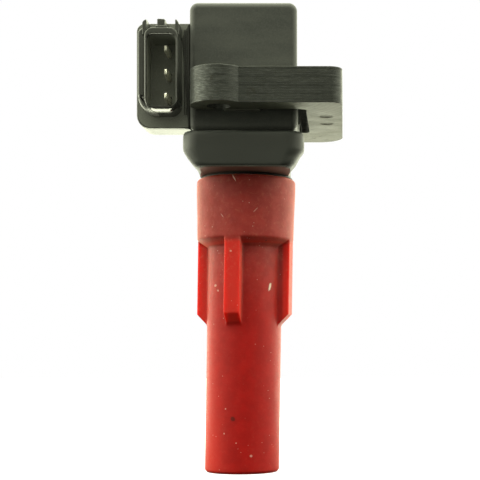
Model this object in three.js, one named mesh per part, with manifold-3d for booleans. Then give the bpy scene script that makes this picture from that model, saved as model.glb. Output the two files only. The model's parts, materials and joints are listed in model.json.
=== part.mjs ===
// Pencil-type block ignition coil (coil on plug): a laminated open-frame core around a moulded
// winding case, a three-pin side connector, a high-voltage tower and a silicone spark-plug boot.
// Millimetres. +Z is up along the boot axis, -Y is the front, the side the connector faces,
// and +X is the right.
// Heights below are measured from the mouth of the boot; the finished group is lowered by
// CONTACT_SEAT_Z, so the part's origin is the centre of the plug contact's flat underside.
import * as THREE from "three";
import { mergeVertices } from "three/addons/utils/BufferGeometryUtils.js";
import Module from "manifold-3d";

const wasm = await Module();
wasm.setup();

// ---------------------------------------------------------------- shared dimensions
const CONTACT_SEAT_Z = 28; // height of the plug contact's underside above the boot mouth
const OVERCUT = 1; // how far a cutter runs past the face it opens

// high-voltage tower, which the boot fits over
const TOWER_R_TOP = 8.3;
const TOWER_R_LOW = 7.9;

// core bar and frame
const CORE_Z0 = 97.0;
const CORE_Z1 = 106.3;
const BAR_HALF_X = 4.8;
const CORE_CLEARANCE = 0.3;

// window through which the connector terminals enter the case
const WINDOW_Y0 = -9.4;
const WINDOW_Z0 = 98.2;
const WINDOW_Z1 = 114.8;

// ---------------------------------------------------------------- geometry helpers
function toSolid(geometry) {
  const bare = geometry.clone();
  bare.deleteAttribute("normal");
  bare.deleteAttribute("uv");
  const merged = mergeVertices(bare, 1e-4);
  return new wasm.Manifold(
    new wasm.Mesh({
      numProp: 3,
      vertProperties: new Float32Array(merged.attributes.position.array),
      triVerts: new Uint32Array(merged.index.array),
    }),
  );
}

function toGeometry(solid) {
  const mesh = solid.getMesh();
  const geometry = new THREE.BufferGeometry();
  const positions = new Float32Array(mesh.vertProperties);
  geometry.setAttribute("position", new THREE.BufferAttribute(positions, 3));
  geometry.setIndex(new THREE.BufferAttribute(new Uint32Array(mesh.triVerts), 1));
  geometry.computeVertexNormals();
  return geometry;
}

const union = (first, ...rest) => rest.reduce((sum, solid) => sum.add(solid), first);
const cut = (first, ...rest) => rest.reduce((left, solid) => left.subtract(solid), first);

// Each argument is a [low, high] range.
function box([x0, x1], [y0, y1], [z0, z1]) {
  const geometry = new THREE.BoxGeometry(x1 - x0, y1 - y0, z1 - z0);
  geometry.translate((x0 + x1) / 2, (y0 + y1) / 2, (z0 + z1) / 2);
  return toSolid(geometry);
}

const around = (centre, half) => [centre - half, centre + half];

function polygon(points) {
  const shape = new THREE.Shape();
  shape.moveTo(...points[0]);
  points.slice(1).forEach((point) => shape.lineTo(...point));
  shape.closePath();
  return shape;
}

// radii is one radius or [low left, low right, high right, high left].
function roundedRect(x0, y0, x1, y1, radii) {
  const corners = Array.isArray(radii) ? radii : Array(4).fill(radii);
  const [lowLeft, lowRight, highRight, highLeft] = corners;
  const quarter = Math.PI / 2;
  const shape = new THREE.Shape();
  const corner = (x, y, radius, start) => {
    if (radius > 0) shape.absarc(x, y, radius, start, start + quarter, false);
  };
  shape.moveTo(x0 + lowLeft, y0);
  shape.lineTo(x1 - lowRight, y0);
  corner(x1 - lowRight, y0 + lowRight, lowRight, -quarter);
  shape.lineTo(x1, y1 - highRight);
  corner(x1 - highRight, y1 - highRight, highRight, 0);
  shape.lineTo(x0 + highLeft, y1);
  corner(x0 + highLeft, y1 - highLeft, highLeft, quarter);
  shape.lineTo(x0, y0 + lowLeft);
  corner(x0 + lowLeft, y0 + lowLeft, lowLeft, Math.PI);
  return shape;
}

function extrude(shape, depth, curveSegments, steps = 1) {
  return new THREE.ExtrudeGeometry(shape, {
    depth,
    steps,
    curveSegments,
    bevelEnabled: false,
  });
}

// Outline in X and Y, extruded along Z.
function prismZ(shape, z0, z1, segments = 5) {
  return toSolid(extrude(shape, z1 - z0, segments).translate(0, 0, z0));
}

// Outline in X and Z, extruded along Y.
function prismY(shape, y0, y1, segments = 5) {
  const geometry = extrude(shape, y1 - y0, segments);
  geometry.rotateX(Math.PI / 2);
  return toSolid(geometry.translate(0, y1, 0));
}

// Profile of [radius, height] pairs about the Z axis; a profile off the axis closes on itself.
function turned(profile, segments = 32) {
  const points = profile.map(([radius, z]) => new THREE.Vector2(radius, z));
  return toSolid(new THREE.LatheGeometry(points, segments).rotateX(Math.PI / 2));
}

function cylinderZ(x, y, radius, z0, z1, segments = 24) {
  const geometry = new THREE.CylinderGeometry(radius, radius, z1 - z0, segments);
  geometry.rotateX(Math.PI / 2);
  return toSolid(geometry.translate(x, y, (z0 + z1) / 2));
}

function cylinderY(x, z, radius, y0, y1, segments) {
  const geometry = new THREE.CylinderGeometry(radius, radius, y1 - y0, segments);
  return toSolid(geometry.translate(x, (y0 + y1) / 2, z));
}

// Six-sided wire swept along a curve.
function wire(path, radius, steps) {
  const sides = 6;
  const section = [];
  for (let i = 0; i < sides; i++) {
    const angle = (2 * Math.PI * i) / sides;
    section.push([radius * Math.cos(angle), radius * Math.sin(angle)]);
  }
  return toSolid(
    new THREE.ExtrudeGeometry(polygon(section), {
      extrudePath: path,
      steps,
      bevelEnabled: false,
    }),
  );
}

// ---------------------------------------------------------------- boot
const BOOT_TUBE_R = 10.25;
const BOOT_COLLAR_R_TOP = 13.6;
const BOOT_COLLAR_R_LOW = 13.3;
const BOOT_TOP_Z = 80.6;
const BOOT_COLLAR_Z = 63.9;
const BOOT_TAPER_Z = 61.9;
const BOOT_MOUTH_FACE_R = 9.7;
const BOOT_MOUTH_R = 6.4;
const BOOT_BORE_R = 5.4; // grips the plug's insulator
const BOOT_BORE_TOP_Z = 20;
const BOOT_SPRING_BORE_R = 5.0;
const BOOT_SOCKET_Z = 55.6;
const BOOT_SOCKET_R_TOP = TOWER_R_TOP + 0.3; // clearance around the tower
const BOOT_SOCKET_R_LOW = TOWER_R_LOW + 0.3;
const BOOT_TOP_CHAMFER = 0.8;
const RIB_WIDTH = 4.3;
const RIB_ROOT_R = 9.2; // sunk into the tube
const RIB_R = 13.1;
const RIB_TOP_Z = 63.6;
const RIB_BOTTOM_Z = 43.6;
const RIB_CHAMFER_Z = 40.8;
const RIB_ANGLES_DEG = [-11, 79, 169, 259]; // from the -Y direction, positive towards +X

function bootRib(angleDeg) {
  // side view: radius along X, height along Y of the shape
  const side = polygon([
    [RIB_ROOT_R, RIB_CHAMFER_Z],
    [BOOT_TUBE_R + 0.2, RIB_CHAMFER_Z],
    [RIB_R, RIB_BOTTOM_Z],
    [RIB_R, RIB_TOP_Z],
    [RIB_ROOT_R, RIB_TOP_Z],
  ]);
  const geometry = extrude(side, RIB_WIDTH);
  geometry.translate(0, 0, -RIB_WIDTH / 2);
  geometry.rotateX(Math.PI / 2);
  geometry.rotateZ(((angleDeg - 90) * Math.PI) / 180);
  return toSolid(geometry);
}

function boot() {
  const body = turned(
    [
      [BOOT_MOUTH_R, 0],
      [BOOT_MOUTH_FACE_R, 0],
      [BOOT_TUBE_R, 0.6],
      [BOOT_TUBE_R, BOOT_TAPER_Z],
      [BOOT_COLLAR_R_LOW, BOOT_COLLAR_Z],
      [BOOT_COLLAR_R_TOP, BOOT_TOP_Z - BOOT_TOP_CHAMFER],
      [BOOT_COLLAR_R_TOP - BOOT_TOP_CHAMFER, BOOT_TOP_Z],
      [BOOT_SOCKET_R_TOP + 0.6, BOOT_TOP_Z],
      [BOOT_SOCKET_R_TOP, BOOT_TOP_Z - 1],
      [BOOT_SOCKET_R_LOW, BOOT_SOCKET_Z],
      [BOOT_SPRING_BORE_R, BOOT_SOCKET_Z],
      [BOOT_SPRING_BORE_R, BOOT_BORE_TOP_Z + 2],
      [BOOT_BORE_R, BOOT_BORE_TOP_Z],
      [BOOT_BORE_R, 1.4],
      [BOOT_MOUTH_R, 0],
    ],
    36,
  );
  return union(body, ...RIB_ANGLES_DEG.map(bootRib));
}

// ---------------------------------------------------------------- tower housing
// flange block and high-voltage tower in one moulding
const BLOCK_LEFT_X = -15.6; // wide front of the block
const BLOCK_RIGHT_X = 16.3;
const BLOCK_REAR_LEFT_X = -13.0; // narrower behind
const BLOCK_REAR_RIGHT_X = 11.6;
const BLOCK_TAPER_Y0 = -15.0;
const BLOCK_TAPER_Y1 = -3.0;
const BLOCK_FOOT_LEFT_X = -11.1; // bottom face, at the front
const BLOCK_FOOT_REAR_LEFT_X = -12.7;
const BLOCK_FOOT_RIGHT_X = 12.7;
const BLOCK_FOOT_REAR_RIGHT_X = 11.5;
const BLOCK_FOOT_TAPER_LENGTH = 20;
const BLOCK_FOOT_FRONT_SCALE = 0.94; // draws the foot's front half in along Y
const BLOCK_Y0 = -20.0;
const BLOCK_Y1 = 15.6;
const BLOCK_Z0 = 81.3;
const BLOCK_Z1 = 91.0;
const BLOCK_FRONT_R = 4.5;
const BLOCK_REAR_R = 3;
const BLOCK_CHAMFER_HEIGHT = 4.7;
const BLOCK_POCKET = roundedRect(-10.6, -14, 10.2, 13, 3);
const BLOCK_POCKET_Z = 84.2;
const SHOULDER_R = 12.7;
const SHOULDER_Z = 80.9;
const SHOULDER_TOP_Z = BLOCK_Z0 + 0.7;
const HUB_R = 5.4; // boss inside the block's pocket
const HUB_TOP_Z = 89.5;
const TOWER_Z = 56.0;
const TOWER_CHAMFER = 0.8;
const TOWER_BORE_R = 3.4;

function blockOutline() {
  const quarter = Math.PI / 2;
  const front = BLOCK_FRONT_R;
  const rear = BLOCK_REAR_R;
  const frontY = BLOCK_Y0 + front;
  const rearY = BLOCK_Y1 - rear;
  const shape = new THREE.Shape();
  shape.moveTo(BLOCK_LEFT_X + front, BLOCK_Y0);
  shape.lineTo(BLOCK_RIGHT_X - front, BLOCK_Y0);
  shape.absarc(BLOCK_RIGHT_X - front, frontY, front, -quarter, 0, false);
  shape.lineTo(BLOCK_RIGHT_X, BLOCK_TAPER_Y0);
  shape.lineTo(BLOCK_REAR_RIGHT_X, BLOCK_TAPER_Y1);
  shape.lineTo(BLOCK_REAR_RIGHT_X, rearY);
  shape.absarc(BLOCK_REAR_RIGHT_X - rear, rearY, rear, 0, quarter, false);
  shape.lineTo(BLOCK_REAR_LEFT_X + rear, BLOCK_Y1);
  shape.absarc(BLOCK_REAR_LEFT_X + rear, rearY, rear, quarter, Math.PI, false);
  shape.lineTo(BLOCK_REAR_LEFT_X, BLOCK_TAPER_Y1);
  shape.lineTo(BLOCK_LEFT_X, BLOCK_TAPER_Y0);
  shape.absarc(BLOCK_LEFT_X + front, frontY, front, Math.PI, 3 * quarter, false);
  return shape;
}

// Factor that draws a point of the block's outline in to the foot.
function footScale(x, y) {
  const mix = (from, to, t) => from + (to - from) * Math.min(1, Math.max(0, t));
  const sideT = (y - BLOCK_TAPER_Y0) / (BLOCK_TAPER_Y1 - BLOCK_TAPER_Y0);
  const footT = (y - BLOCK_Y0) / BLOCK_FOOT_TAPER_LENGTH;
  return x < 0
    ? mix(BLOCK_FOOT_LEFT_X, BLOCK_FOOT_REAR_LEFT_X, footT) /
        mix(BLOCK_LEFT_X, BLOCK_REAR_LEFT_X, sideT)
    : mix(BLOCK_FOOT_RIGHT_X, BLOCK_FOOT_REAR_RIGHT_X, footT) /
        mix(BLOCK_RIGHT_X, BLOCK_REAR_RIGHT_X, sideT);
}

function flangeBlock() {
  const height = BLOCK_Z1 - BLOCK_Z0;
  const geometry = extrude(blockOutline(), height, 5, 2);
  // the lowest layer draws in to the foot, and the middle layer is the top of the chamfer
  const position = geometry.attributes.position;
  for (let i = 0; i < position.count; i++) {
    const x = position.getX(i);
    const y = position.getY(i);
    const z = position.getZ(i);
    if (z < 0.01) {
      position.setXY(i, x * footScale(x, y), y < 0 ? y * BLOCK_FOOT_FRONT_SCALE : y);
    } else if (z < height - 0.01) {
      position.setZ(i, BLOCK_CHAMFER_HEIGHT);
    }
  }
  geometry.translate(0, 0, BLOCK_Z0);
  return cut(toSolid(geometry), prismZ(BLOCK_POCKET, BLOCK_POCKET_Z, BLOCK_Z1 + OVERCUT, 3));
}

function towerHousing() {
  const tower = turned([
    [0, TOWER_Z],
    [TOWER_R_LOW - TOWER_CHAMFER, TOWER_Z],
    [TOWER_R_LOW, TOWER_Z + TOWER_CHAMFER],
    [TOWER_R_TOP, SHOULDER_Z],
    [SHOULDER_R, SHOULDER_Z],
    [SHOULDER_R, SHOULDER_TOP_Z],
    [HUB_R, SHOULDER_TOP_Z],
    [HUB_R, HUB_TOP_Z],
    [0, HUB_TOP_Z],
  ]);
  const bore = cylinderZ(0, 0, TOWER_BORE_R, TOWER_Z - OVERCUT, HUB_TOP_Z + OVERCUT, 20);
  return cut(union(flangeBlock(), tower), bore);
}

// ---------------------------------------------------------------- upper housing and resin
// a cup that opens towards +Y
const CASE_X0 = -13.95;
const CASE_X1 = 14.5;
const CASE_Y0 = -16.0;
const CASE_Y1 = 15.6;
const CASE_Z0 = 91.3;
const CASE_Z1 = 125.6;
const CASE_EDGE_R = 2.2;
const CASE_WALL = 1.5;
const CASE_TAPER = 1.4; // each side draws in by this much towards the rear, above the core
const CASE_TAPER_Y0 = CASE_Y0 + 2;
const CASE_TAPER_Z = 107.3;
const INNER_X0 = -10.9;
const INNER_X1 = 11.4;
const INNER_Z0 = CASE_Z0 + CASE_WALL;
const INNER_Z1 = CASE_Z1 - CASE_WALL;
const CASE_WINDOW_Y1 = -1.4;
const HV_PASSAGE_R = 2.6;
const RESIN_Y0 = 13.3;
const RESIN_Y1 = 15.1;
const RESIN_GAP = 0.3;

// Cutter for the draft on one side of the case; side is the sign of X.
function draftWedge(caseX, side) {
  const slack = 0.01; // keeps the cut's edges off the case's own faces
  const rearX = caseX - side * CASE_TAPER;
  const outerX = caseX + side * OVERCUT;
  const outline = polygon([
    [caseX + side * slack, CASE_TAPER_Y0],
    [rearX, CASE_Y1 + slack],
    [rearX, CASE_Y1 + OVERCUT],
    [outerX, CASE_Y1 + OVERCUT],
    [outerX, CASE_TAPER_Y0],
  ]);
  return prismZ(outline, CASE_TAPER_Z, CASE_Z1 + OVERCUT);
}

// Cutter that clears the core bar's section.
function barSlot(y0, y1) {
  return box(
    around(0, BAR_HALF_X + CORE_CLEARANCE),
    [y0, y1],
    [CORE_Z0 - CORE_CLEARANCE, CORE_Z1 + CORE_CLEARANCE],
  );
}

function upperHousing() {
  return cut(
    prismY(roundedRect(CASE_X0, CASE_Z0, CASE_X1, CASE_Z1, CASE_EDGE_R), CASE_Y0, CASE_Y1),
    draftWedge(CASE_X0, -1),
    draftWedge(CASE_X1, 1),
    prismY(
      roundedRect(INNER_X0, INNER_Z0, INNER_X1, INNER_Z1, 1),
      CASE_Y0 + CASE_WALL,
      CASE_Y1 + OVERCUT,
      3,
    ),
    // slot where the core bar meets the front yoke
    barSlot(CASE_Y0 - OVERCUT, CASE_Y0 + CASE_WALL + OVERCUT),
    cylinderZ(0, 0, HV_PASSAGE_R, CASE_Z0 - OVERCUT, INNER_Z0 + 0.5, 16),
    box(
      [CASE_X0 - OVERCUT, INNER_X0 + OVERCUT],
      [WINDOW_Y0, CASE_WINDOW_Y1],
      [WINDOW_Z0, WINDOW_Z1],
    ),
  );
}

// Resin that closes the cup's open side; the filling deeper in the cup is left out.
function pottingResin() {
  const outline = roundedRect(
    INNER_X0 + RESIN_GAP,
    INNER_Z0 + RESIN_GAP,
    INNER_X1 - RESIN_GAP,
    INNER_Z1 - RESIN_GAP,
    0.8,
  );
  return cut(
    prismY(outline, RESIN_Y0, RESIN_Y1, 3),
    barSlot(RESIN_Y0 - OVERCUT, RESIN_Y1 + OVERCUT),
  );
}

// ---------------------------------------------------------------- laminated core
const CORE_FRONT_Y = -25.0;
const CORE_WINDOW_Y0 = -16.4;
const CORE_WINDOW_Y1 = 16.0;
const CORE_WINDOW_R = 1.5;
const CORE_BACK_Y = 31.0;
const CORE_LEG_X0 = 16.9;
const CORE_LEG_X1 = 26.5;
const CORE_FRONT_R = 3.3;
const CORE_BACK_R = 7.4;
const CORE_BACK_LEFT_X = -9.0;
const CORE_BACK_CHAMFER = 7.6; // along both X and Y
const LUG_X = -5.7;
const LUG_Y = -20.0;
const LUG_R = 7.5;
const BOLT_HOLE_R = 3.0;
const LEG_MARK_X = 22.1;
const LEG_MARK_YS = [-7.2, 2.6];
const LEG_MARK_R = 1.9;
const LEG_MARK_DEPTH = 0.3;
const BAR_Y0 = -16.1;
const BAR_Y1 = 14.4;
const MAGNET_Y0 = BAR_Y1 + 0.2;
const MAGNET_THICKNESS = 1.1;

function coreOutline() {
  const quarter = Math.PI / 2;
  const crease = Math.asin((LUG_Y - CORE_FRONT_Y) / LUG_R);
  const back = Math.asin((CORE_WINDOW_Y0 - LUG_Y) / LUG_R);
  const frontX = CORE_LEG_X1 - CORE_FRONT_R;
  const backX = CORE_LEG_X1 - CORE_BACK_R;
  const backY = CORE_BACK_Y - CORE_BACK_R;
  const windowX = CORE_LEG_X0 - CORE_WINDOW_R;
  const windowY0 = CORE_WINDOW_Y0 + CORE_WINDOW_R;
  const windowY1 = CORE_WINDOW_Y1 - CORE_WINDOW_R;
  const shape = new THREE.Shape();
  // front face of the yoke, from the lug's crease to the right
  shape.moveTo(LUG_X + LUG_R * Math.cos(crease), CORE_FRONT_Y);
  shape.lineTo(frontX, CORE_FRONT_Y);
  shape.absarc(frontX, CORE_FRONT_Y + CORE_FRONT_R, CORE_FRONT_R, -quarter, 0, false);
  shape.lineTo(CORE_LEG_X1, backY);
  shape.absarc(backX, backY, CORE_BACK_R, 0, quarter, false);
  shape.lineTo(CORE_BACK_LEFT_X + CORE_BACK_CHAMFER, CORE_BACK_Y);
  shape.lineTo(CORE_BACK_LEFT_X, CORE_BACK_Y - CORE_BACK_CHAMFER);
  shape.lineTo(CORE_BACK_LEFT_X, CORE_WINDOW_Y1);
  shape.lineTo(windowX, CORE_WINDOW_Y1);
  shape.absarc(windowX, windowY1, CORE_WINDOW_R, quarter, 0, true);
  shape.lineTo(CORE_LEG_X0, windowY0);
  shape.absarc(windowX, windowY0, CORE_WINDOW_R, 0, -quarter, true);
  // back of the yoke, then round the lug
  shape.lineTo(LUG_X - LUG_R * Math.cos(back), CORE_WINDOW_Y0);
  shape.absarc(LUG_X, LUG_Y, LUG_R, Math.PI - back, 2 * Math.PI - crease, false);
  shape.closePath();
  return shape;
}

function coreFrame() {
  const z0 = CORE_Z0 - OVERCUT;
  return cut(
    prismZ(coreOutline(), CORE_Z0, CORE_Z1, 8),
    cylinderZ(LUG_X, LUG_Y, BOLT_HOLE_R, z0, CORE_Z1 + OVERCUT),
    // half-shear marks under the leg lock the sheets together
    ...LEG_MARK_YS.map((y) =>
      cylinderZ(LEG_MARK_X, y, LEG_MARK_R, z0, CORE_Z0 + LEG_MARK_DEPTH),
    ),
  );
}

// A block with the core bar's section: the bar itself or the magnet behind it.
function barBlock(y0, y1) {
  return box(around(0, BAR_HALF_X), [y0, y1], [CORE_Z0, CORE_Z1]);
}

// ---------------------------------------------------------------- windings
const COIL_Z = (CORE_Z0 + CORE_Z1) / 2;
const COIL_Y0 = -13.2;
const COIL_Y1 = 12.6;
// [X, Z] half sizes about the core bar's axis
const PRIMARY_BORE = [4.95, 4.8];
const PRIMARY_TUBE = [5.5, 5.35];
const PRIMARY_FLANGE = [6.8, 6.4];
const PRIMARY_WIRE_INNER = [5.7, 5.55];
const PRIMARY_WIRE_OUTER = [6.7, 6.3];
const SECONDARY_BORE = [7.0, 6.6];
const SECONDARY_TUBE = [7.5, 7.1];
const SECONDARY_FLANGE = [9.4, 8.5];
const SECONDARY_WIRE_INNER = [7.8, 7.4];
const SECONDARY_WIRE_OUTER = [9.0, 8.2];
const PRIMARY_FLANGE_WALL = 0.8;
const PRIMARY_WIRE_INSET = 1.1; // from each end of the bobbin
const SECONDARY_SECTIONS = 5;
const SECONDARY_WALL = 0.6;
const SECONDARY_PITCH = (COIL_Y1 - COIL_Y0 - SECONDARY_WALL) / SECONDARY_SECTIONS;
const SECONDARY_WIRE_GAP = 0.25; // between a winding section and its partitions

// A rectangular sleeve about the core bar, given as [X, Z] half sizes.
function sleeve([innerX, innerZ], [outerX, outerZ], y0, y1, radius) {
  const outline = (halfX, halfZ, r) =>
    roundedRect(-halfX, COIL_Z - halfZ, halfX, COIL_Z + halfZ, r);
  return cut(
    prismY(outline(outerX, outerZ, radius), y0, y1, 2),
    prismY(
      outline(innerX, innerZ, Math.max(radius - 0.5, 0)),
      y0 - OVERCUT,
      y1 + OVERCUT,
      2,
    ),
  );
}

function primaryBobbin() {
  const wall = PRIMARY_FLANGE_WALL;
  return union(
    sleeve(PRIMARY_BORE, PRIMARY_TUBE, COIL_Y0, COIL_Y1, 0.5),
    sleeve(PRIMARY_BORE, PRIMARY_FLANGE, COIL_Y0, COIL_Y0 + wall, 0.5),
    sleeve(PRIMARY_BORE, PRIMARY_FLANGE, COIL_Y1 - wall, COIL_Y1, 0.5),
  );
}

function primaryWinding() {
  const y0 = COIL_Y0 + PRIMARY_WIRE_INSET;
  const y1 = COIL_Y1 - PRIMARY_WIRE_INSET;
  return sleeve(PRIMARY_WIRE_INNER, PRIMARY_WIRE_OUTER, y0, y1, 1.0);
}

// A bar along the top of the secondary, inset from its end walls; bottom and top above COIL_Z.
function crossover(halfX, inset, bottom, top) {
  const ends = SECONDARY_WALL + inset;
  return box(
    around(0, halfX),
    [COIL_Y0 + ends, COIL_Y1 - ends],
    [COIL_Z + bottom, COIL_Z + top],
  );
}

function secondaryBobbin() {
  const flanges = [];
  for (let i = 0; i <= SECONDARY_SECTIONS; i++) {
    const y = COIL_Y0 + i * SECONDARY_PITCH;
    flanges.push(sleeve(SECONDARY_BORE, SECONDARY_FLANGE, y, y + SECONDARY_WALL, 1.2));
  }
  const tube = sleeve(SECONDARY_BORE, SECONDARY_TUBE, COIL_Y0, COIL_Y1, 1.0);
  // crossover notches in the inner partitions
  return cut(union(tube, ...flanges), crossover(0.9, 0.1, 7.35, 9));
}

function secondaryWinding() {
  const length = SECONDARY_PITCH - SECONDARY_WALL - 2 * SECONDARY_WIRE_GAP;
  const rings = [];
  for (let i = 0; i < SECONDARY_SECTIONS; i++) {
    const y = COIL_Y0 + SECONDARY_WALL + i * SECONDARY_PITCH + SECONDARY_WIRE_GAP;
    rings.push(sleeve(SECONDARY_WIRE_INNER, SECONDARY_WIRE_OUTER, y, y + length, 1.4));
  }
  return union(...rings, crossover(0.5, 1, 7.6, 8.1));
}

const LEAD_X = 3.5; // either side of the centre
const LEAD_R = 0.3;
// [y, z] from the primary up into the case
const LEAD_PATH = [
  [-13.9, 107.2], [-13.9, 110.5], [-13.6, 113.0], [-12.0, 114.4], [-10.0, 114.4],
];

function primaryLead(x) {
  const points = LEAD_PATH.map(([y, z]) => new THREE.Vector3(x, y, z));
  return wire(new THREE.CatmullRomCurve3(points), LEAD_R, 10);
}

// ---------------------------------------------------------------- connector
const PLATE_X1 = -14.25;
const PLATE_Y0 = -14.6;
const PLATE_Y1 = -6.0;
// outlines in X and Z
const PLATE = roundedRect(-28.1, 92.2, PLATE_X1, 120.2, [3.7, 0, 0, 2.2]);
const REAR_BODY = roundedRect(-25.4, 94.6, PLATE_X1, 118, [2.5, 0, 0, 1.6]);
const SHROUD = roundedRect(-25.1, 95.6, -16.0, 117.1, 2.1);
const CAVITY = roundedRect(-24.2, 96.4, -16.8, 115.3, 1.4);
const REAR_BODY_Y1 = -0.6;
const SHROUD_Y0 = -22.0;
const JOINT_OVERLAP = 1; // how far joined bodies run into the plate
const CAVITY_Y1 = -11.5;
const POCKET_X0 = -21.6;
const POCKET_Y1 = -1.6;
// bars along the shroud: x range, front y, z range
const GUIDES = [
  [[-25.5, -24.4], -21.0, [115.5, 119.7]], // guide ribs on the top
  [[-16.9, -16.0], -21.0, [115.5, 119.7]],
  [[-21.6, -19.6], -21.4, [116.5, 119.7]], // lock tab
  [[-26.8, -24.8], -20.6, [99.4, 117.2]], // rib down the outer side
];
const PIN_X = -19.8;
const PIN_TIP_Y = -18.4;
const PIN_HALF_X = 0.8 / 2;
const PIN_HALF_Z = 1.9 / 2;
const PIN_SLOT_GAP = 0.2;
const RISER_X = [-10.6, -9.9];
const TAB_X1 = -8.0;
const TAB_Z = [113.2, 114.2];
// name, pin height, y of the bend towards the case
const TERMINALS = [
  ["terminal_power", 112.7, -8.0],
  ["terminal_ground", 106.45, -5.4],
  ["terminal_signal", 100.2, -2.8],
];

function connectorHousing() {
  const shroudY1 = PLATE_Y0 + JOINT_OVERLAP;
  const housing = union(
    prismY(PLATE, PLATE_Y0, PLATE_Y1),
    prismY(REAR_BODY, PLATE_Y1 - JOINT_OVERLAP, REAR_BODY_Y1),
    prismY(SHROUD, SHROUD_Y0, shroudY1),
    ...GUIDES.map(([rangeX, y0, rangeZ]) => box(rangeX, [y0, shroudY1], rangeZ)),
  );
  return cut(
    housing,
    prismY(CAVITY, SHROUD_Y0 - OVERCUT, CAVITY_Y1),
    // pocket behind the cavity floor, open to the case
    box(
      [POCKET_X0, PLATE_X1 + OVERCUT],
      [WINDOW_Y0, POCKET_Y1],
      [WINDOW_Z0, WINDOW_Z1],
    ),
    // pin slots through the cavity floor
    ...TERMINALS.map(([, z]) =>
      box(
        around(PIN_X, PIN_HALF_X + PIN_SLOT_GAP),
        [CAVITY_Y1 - OVERCUT, WINDOW_Y0 + OVERCUT],
        around(z, PIN_HALF_Z + PIN_SLOT_GAP),
      ),
    ),
  );
}

// Pin, run towards the case, riser and the tab at its top.
function terminal(z, bendY) {
  const rangeY = around(bendY, PIN_HALF_X);
  const rangeZ = around(z, PIN_HALF_Z);
  return union(
    box(around(PIN_X, PIN_HALF_X), [PIN_TIP_Y, rangeY[1]], rangeZ),
    box([PIN_X - PIN_HALF_X, RISER_X[1]], rangeY, rangeZ),
    box(RISER_X, rangeY, [rangeZ[0], TAB_Z[1]]),
    box([RISER_X[0], TAB_X1], rangeY, TAB_Z),
  );
}

// ---------------------------------------------------------------- electronics in the case
const MODULE_Z0 = 112.2; // underside of the igniter module and the capacitor
const SPREADER_Z = [116.5, 117.7];
const DIODE_X = 5.6;
const DIODE_Z = 113.6;

function heatSpreader() {
  const [z0, z1] = SPREADER_Z;
  return cut(
    box([-7.2, 9.4], [-9.2, -1.6], SPREADER_Z),
    cylinderZ(7.9, -5.4, 1.3, z0 - OVERCUT, z1 + OVERCUT, 16),
  );
}

// body and the leads out of its ends
function hvDiode() {
  return union(
    cylinderY(DIODE_X, DIODE_Z, 1.3, 1.4, 8.6, 16),
    cylinderY(DIODE_X, DIODE_Z, 0.35, 0.2, 11.6, 8),
  );
}

// ---------------------------------------------------------------- high-voltage path
// profiles are [radius, height]
const HV_TERMINAL_PROFILE = [
  [0, 76.2], [2.8, 76.2], [2.8, 77.4], [1.6, 78.2], [1.6, 92.4], [0, 92.4],
];
const RESISTOR_PROFILE = [
  [0, 62.2], [2.7, 62.2], [2.7, 64.4], [2.4, 64.6],
  [2.4, 73.4], [2.7, 73.6], [2.7, 75.8], [0, 75.8],
];
// height here is above the contact's seat
const CONTACT_PROFILE = [
  [0, 0], [2.9, 0], [3.6, 0.7], [3.6, 3.6], [3.2, 4.4],
  [1.8, 4.4], [1.8, 8.0], [1.3, 8.6], [0, 8.6],
];
const SPRING_TOP_Z = 61.2;
const SPRING_BOTTOM_Z = 33.6;
const SPRING_R = 2.6;
const SPRING_WIRE_R = 0.4;
const SPRING_TURNS = 9;

class Helix extends THREE.Curve {
  getPoint(t, target = new THREE.Vector3()) {
    const angle = 2 * Math.PI * SPRING_TURNS * t;
    const z0 = SPRING_BOTTOM_Z + SPRING_WIRE_R;
    const z1 = SPRING_TOP_Z - SPRING_WIRE_R;
    return target.set(
      SPRING_R * Math.cos(angle),
      SPRING_R * Math.sin(angle),
      z0 + (z1 - z0) * t,
    );
  }
}

function plugContact() {
  return turned(
    CONTACT_PROFILE.map(([radius, height]) => [radius, CONTACT_SEAT_Z + height]),
    24,
  );
}

// ---------------------------------------------------------------- assembly
const part = new THREE.Group();
part.name = "ignition_coil";
const stack = new THREE.Group(); // heights inside are measured from the boot mouth
stack.position.z = -CONTACT_SEAT_Z;
part.add(stack);

function add(name, solid, finish) {
  const mesh = new THREE.Mesh(toGeometry(solid), new THREE.MeshStandardMaterial(finish));
  mesh.name = name;
  stack.add(mesh);
}

const plastic = (color, roughness) => ({ color, roughness, metalness: 0 });
const copper = (color) => ({ color, roughness: 0.35, metalness: 0.9 });
const steel = (color, roughness, metalness) => ({ color, roughness, metalness });
const plated = (color, roughness) => ({ color, roughness, metalness: 1 });

add("boot", boot(), plastic(0x8e1a12, 0.45));
add("tower_housing", towerHousing(), plastic(0x2c2d29, 0.5));
add("upper_housing", upperHousing(), plastic(0x3c3e37, 0.5));
add("potting_resin", pottingResin(), plastic(0x1b1c1a, 0.25));

add("core_frame", coreFrame(), steel(0x6f7266, 0.45, 0.7));
add("core_bar", barBlock(BAR_Y0, BAR_Y1), steel(0x7a7c74, 0.4, 0.8));
const magnet = barBlock(MAGNET_Y0, MAGNET_Y0 + MAGNET_THICKNESS);
add("core_magnet", magnet, steel(0x3a3c3e, 0.35, 0.8));

add("primary_bobbin", primaryBobbin(), plastic(0x2a2b2a, 0.6));
add("primary_winding", primaryWinding(), copper(0x9a4a22));
add("secondary_bobbin", secondaryBobbin(), plastic(0xb8b6a8, 0.55));
add("secondary_winding", secondaryWinding(), copper(0xa8602c));
add("primary_lead_start", primaryLead(-LEAD_X), copper(0xa85628));
add("primary_lead_end", primaryLead(LEAD_X), copper(0xa85628));

add("connector_housing", connectorHousing(), plastic(0x34362f, 0.5));
for (const [name, z, bendY] of TERMINALS) {
  add(name, terminal(z, bendY), plated(0xd9d4c4, 0.25));
}

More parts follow.
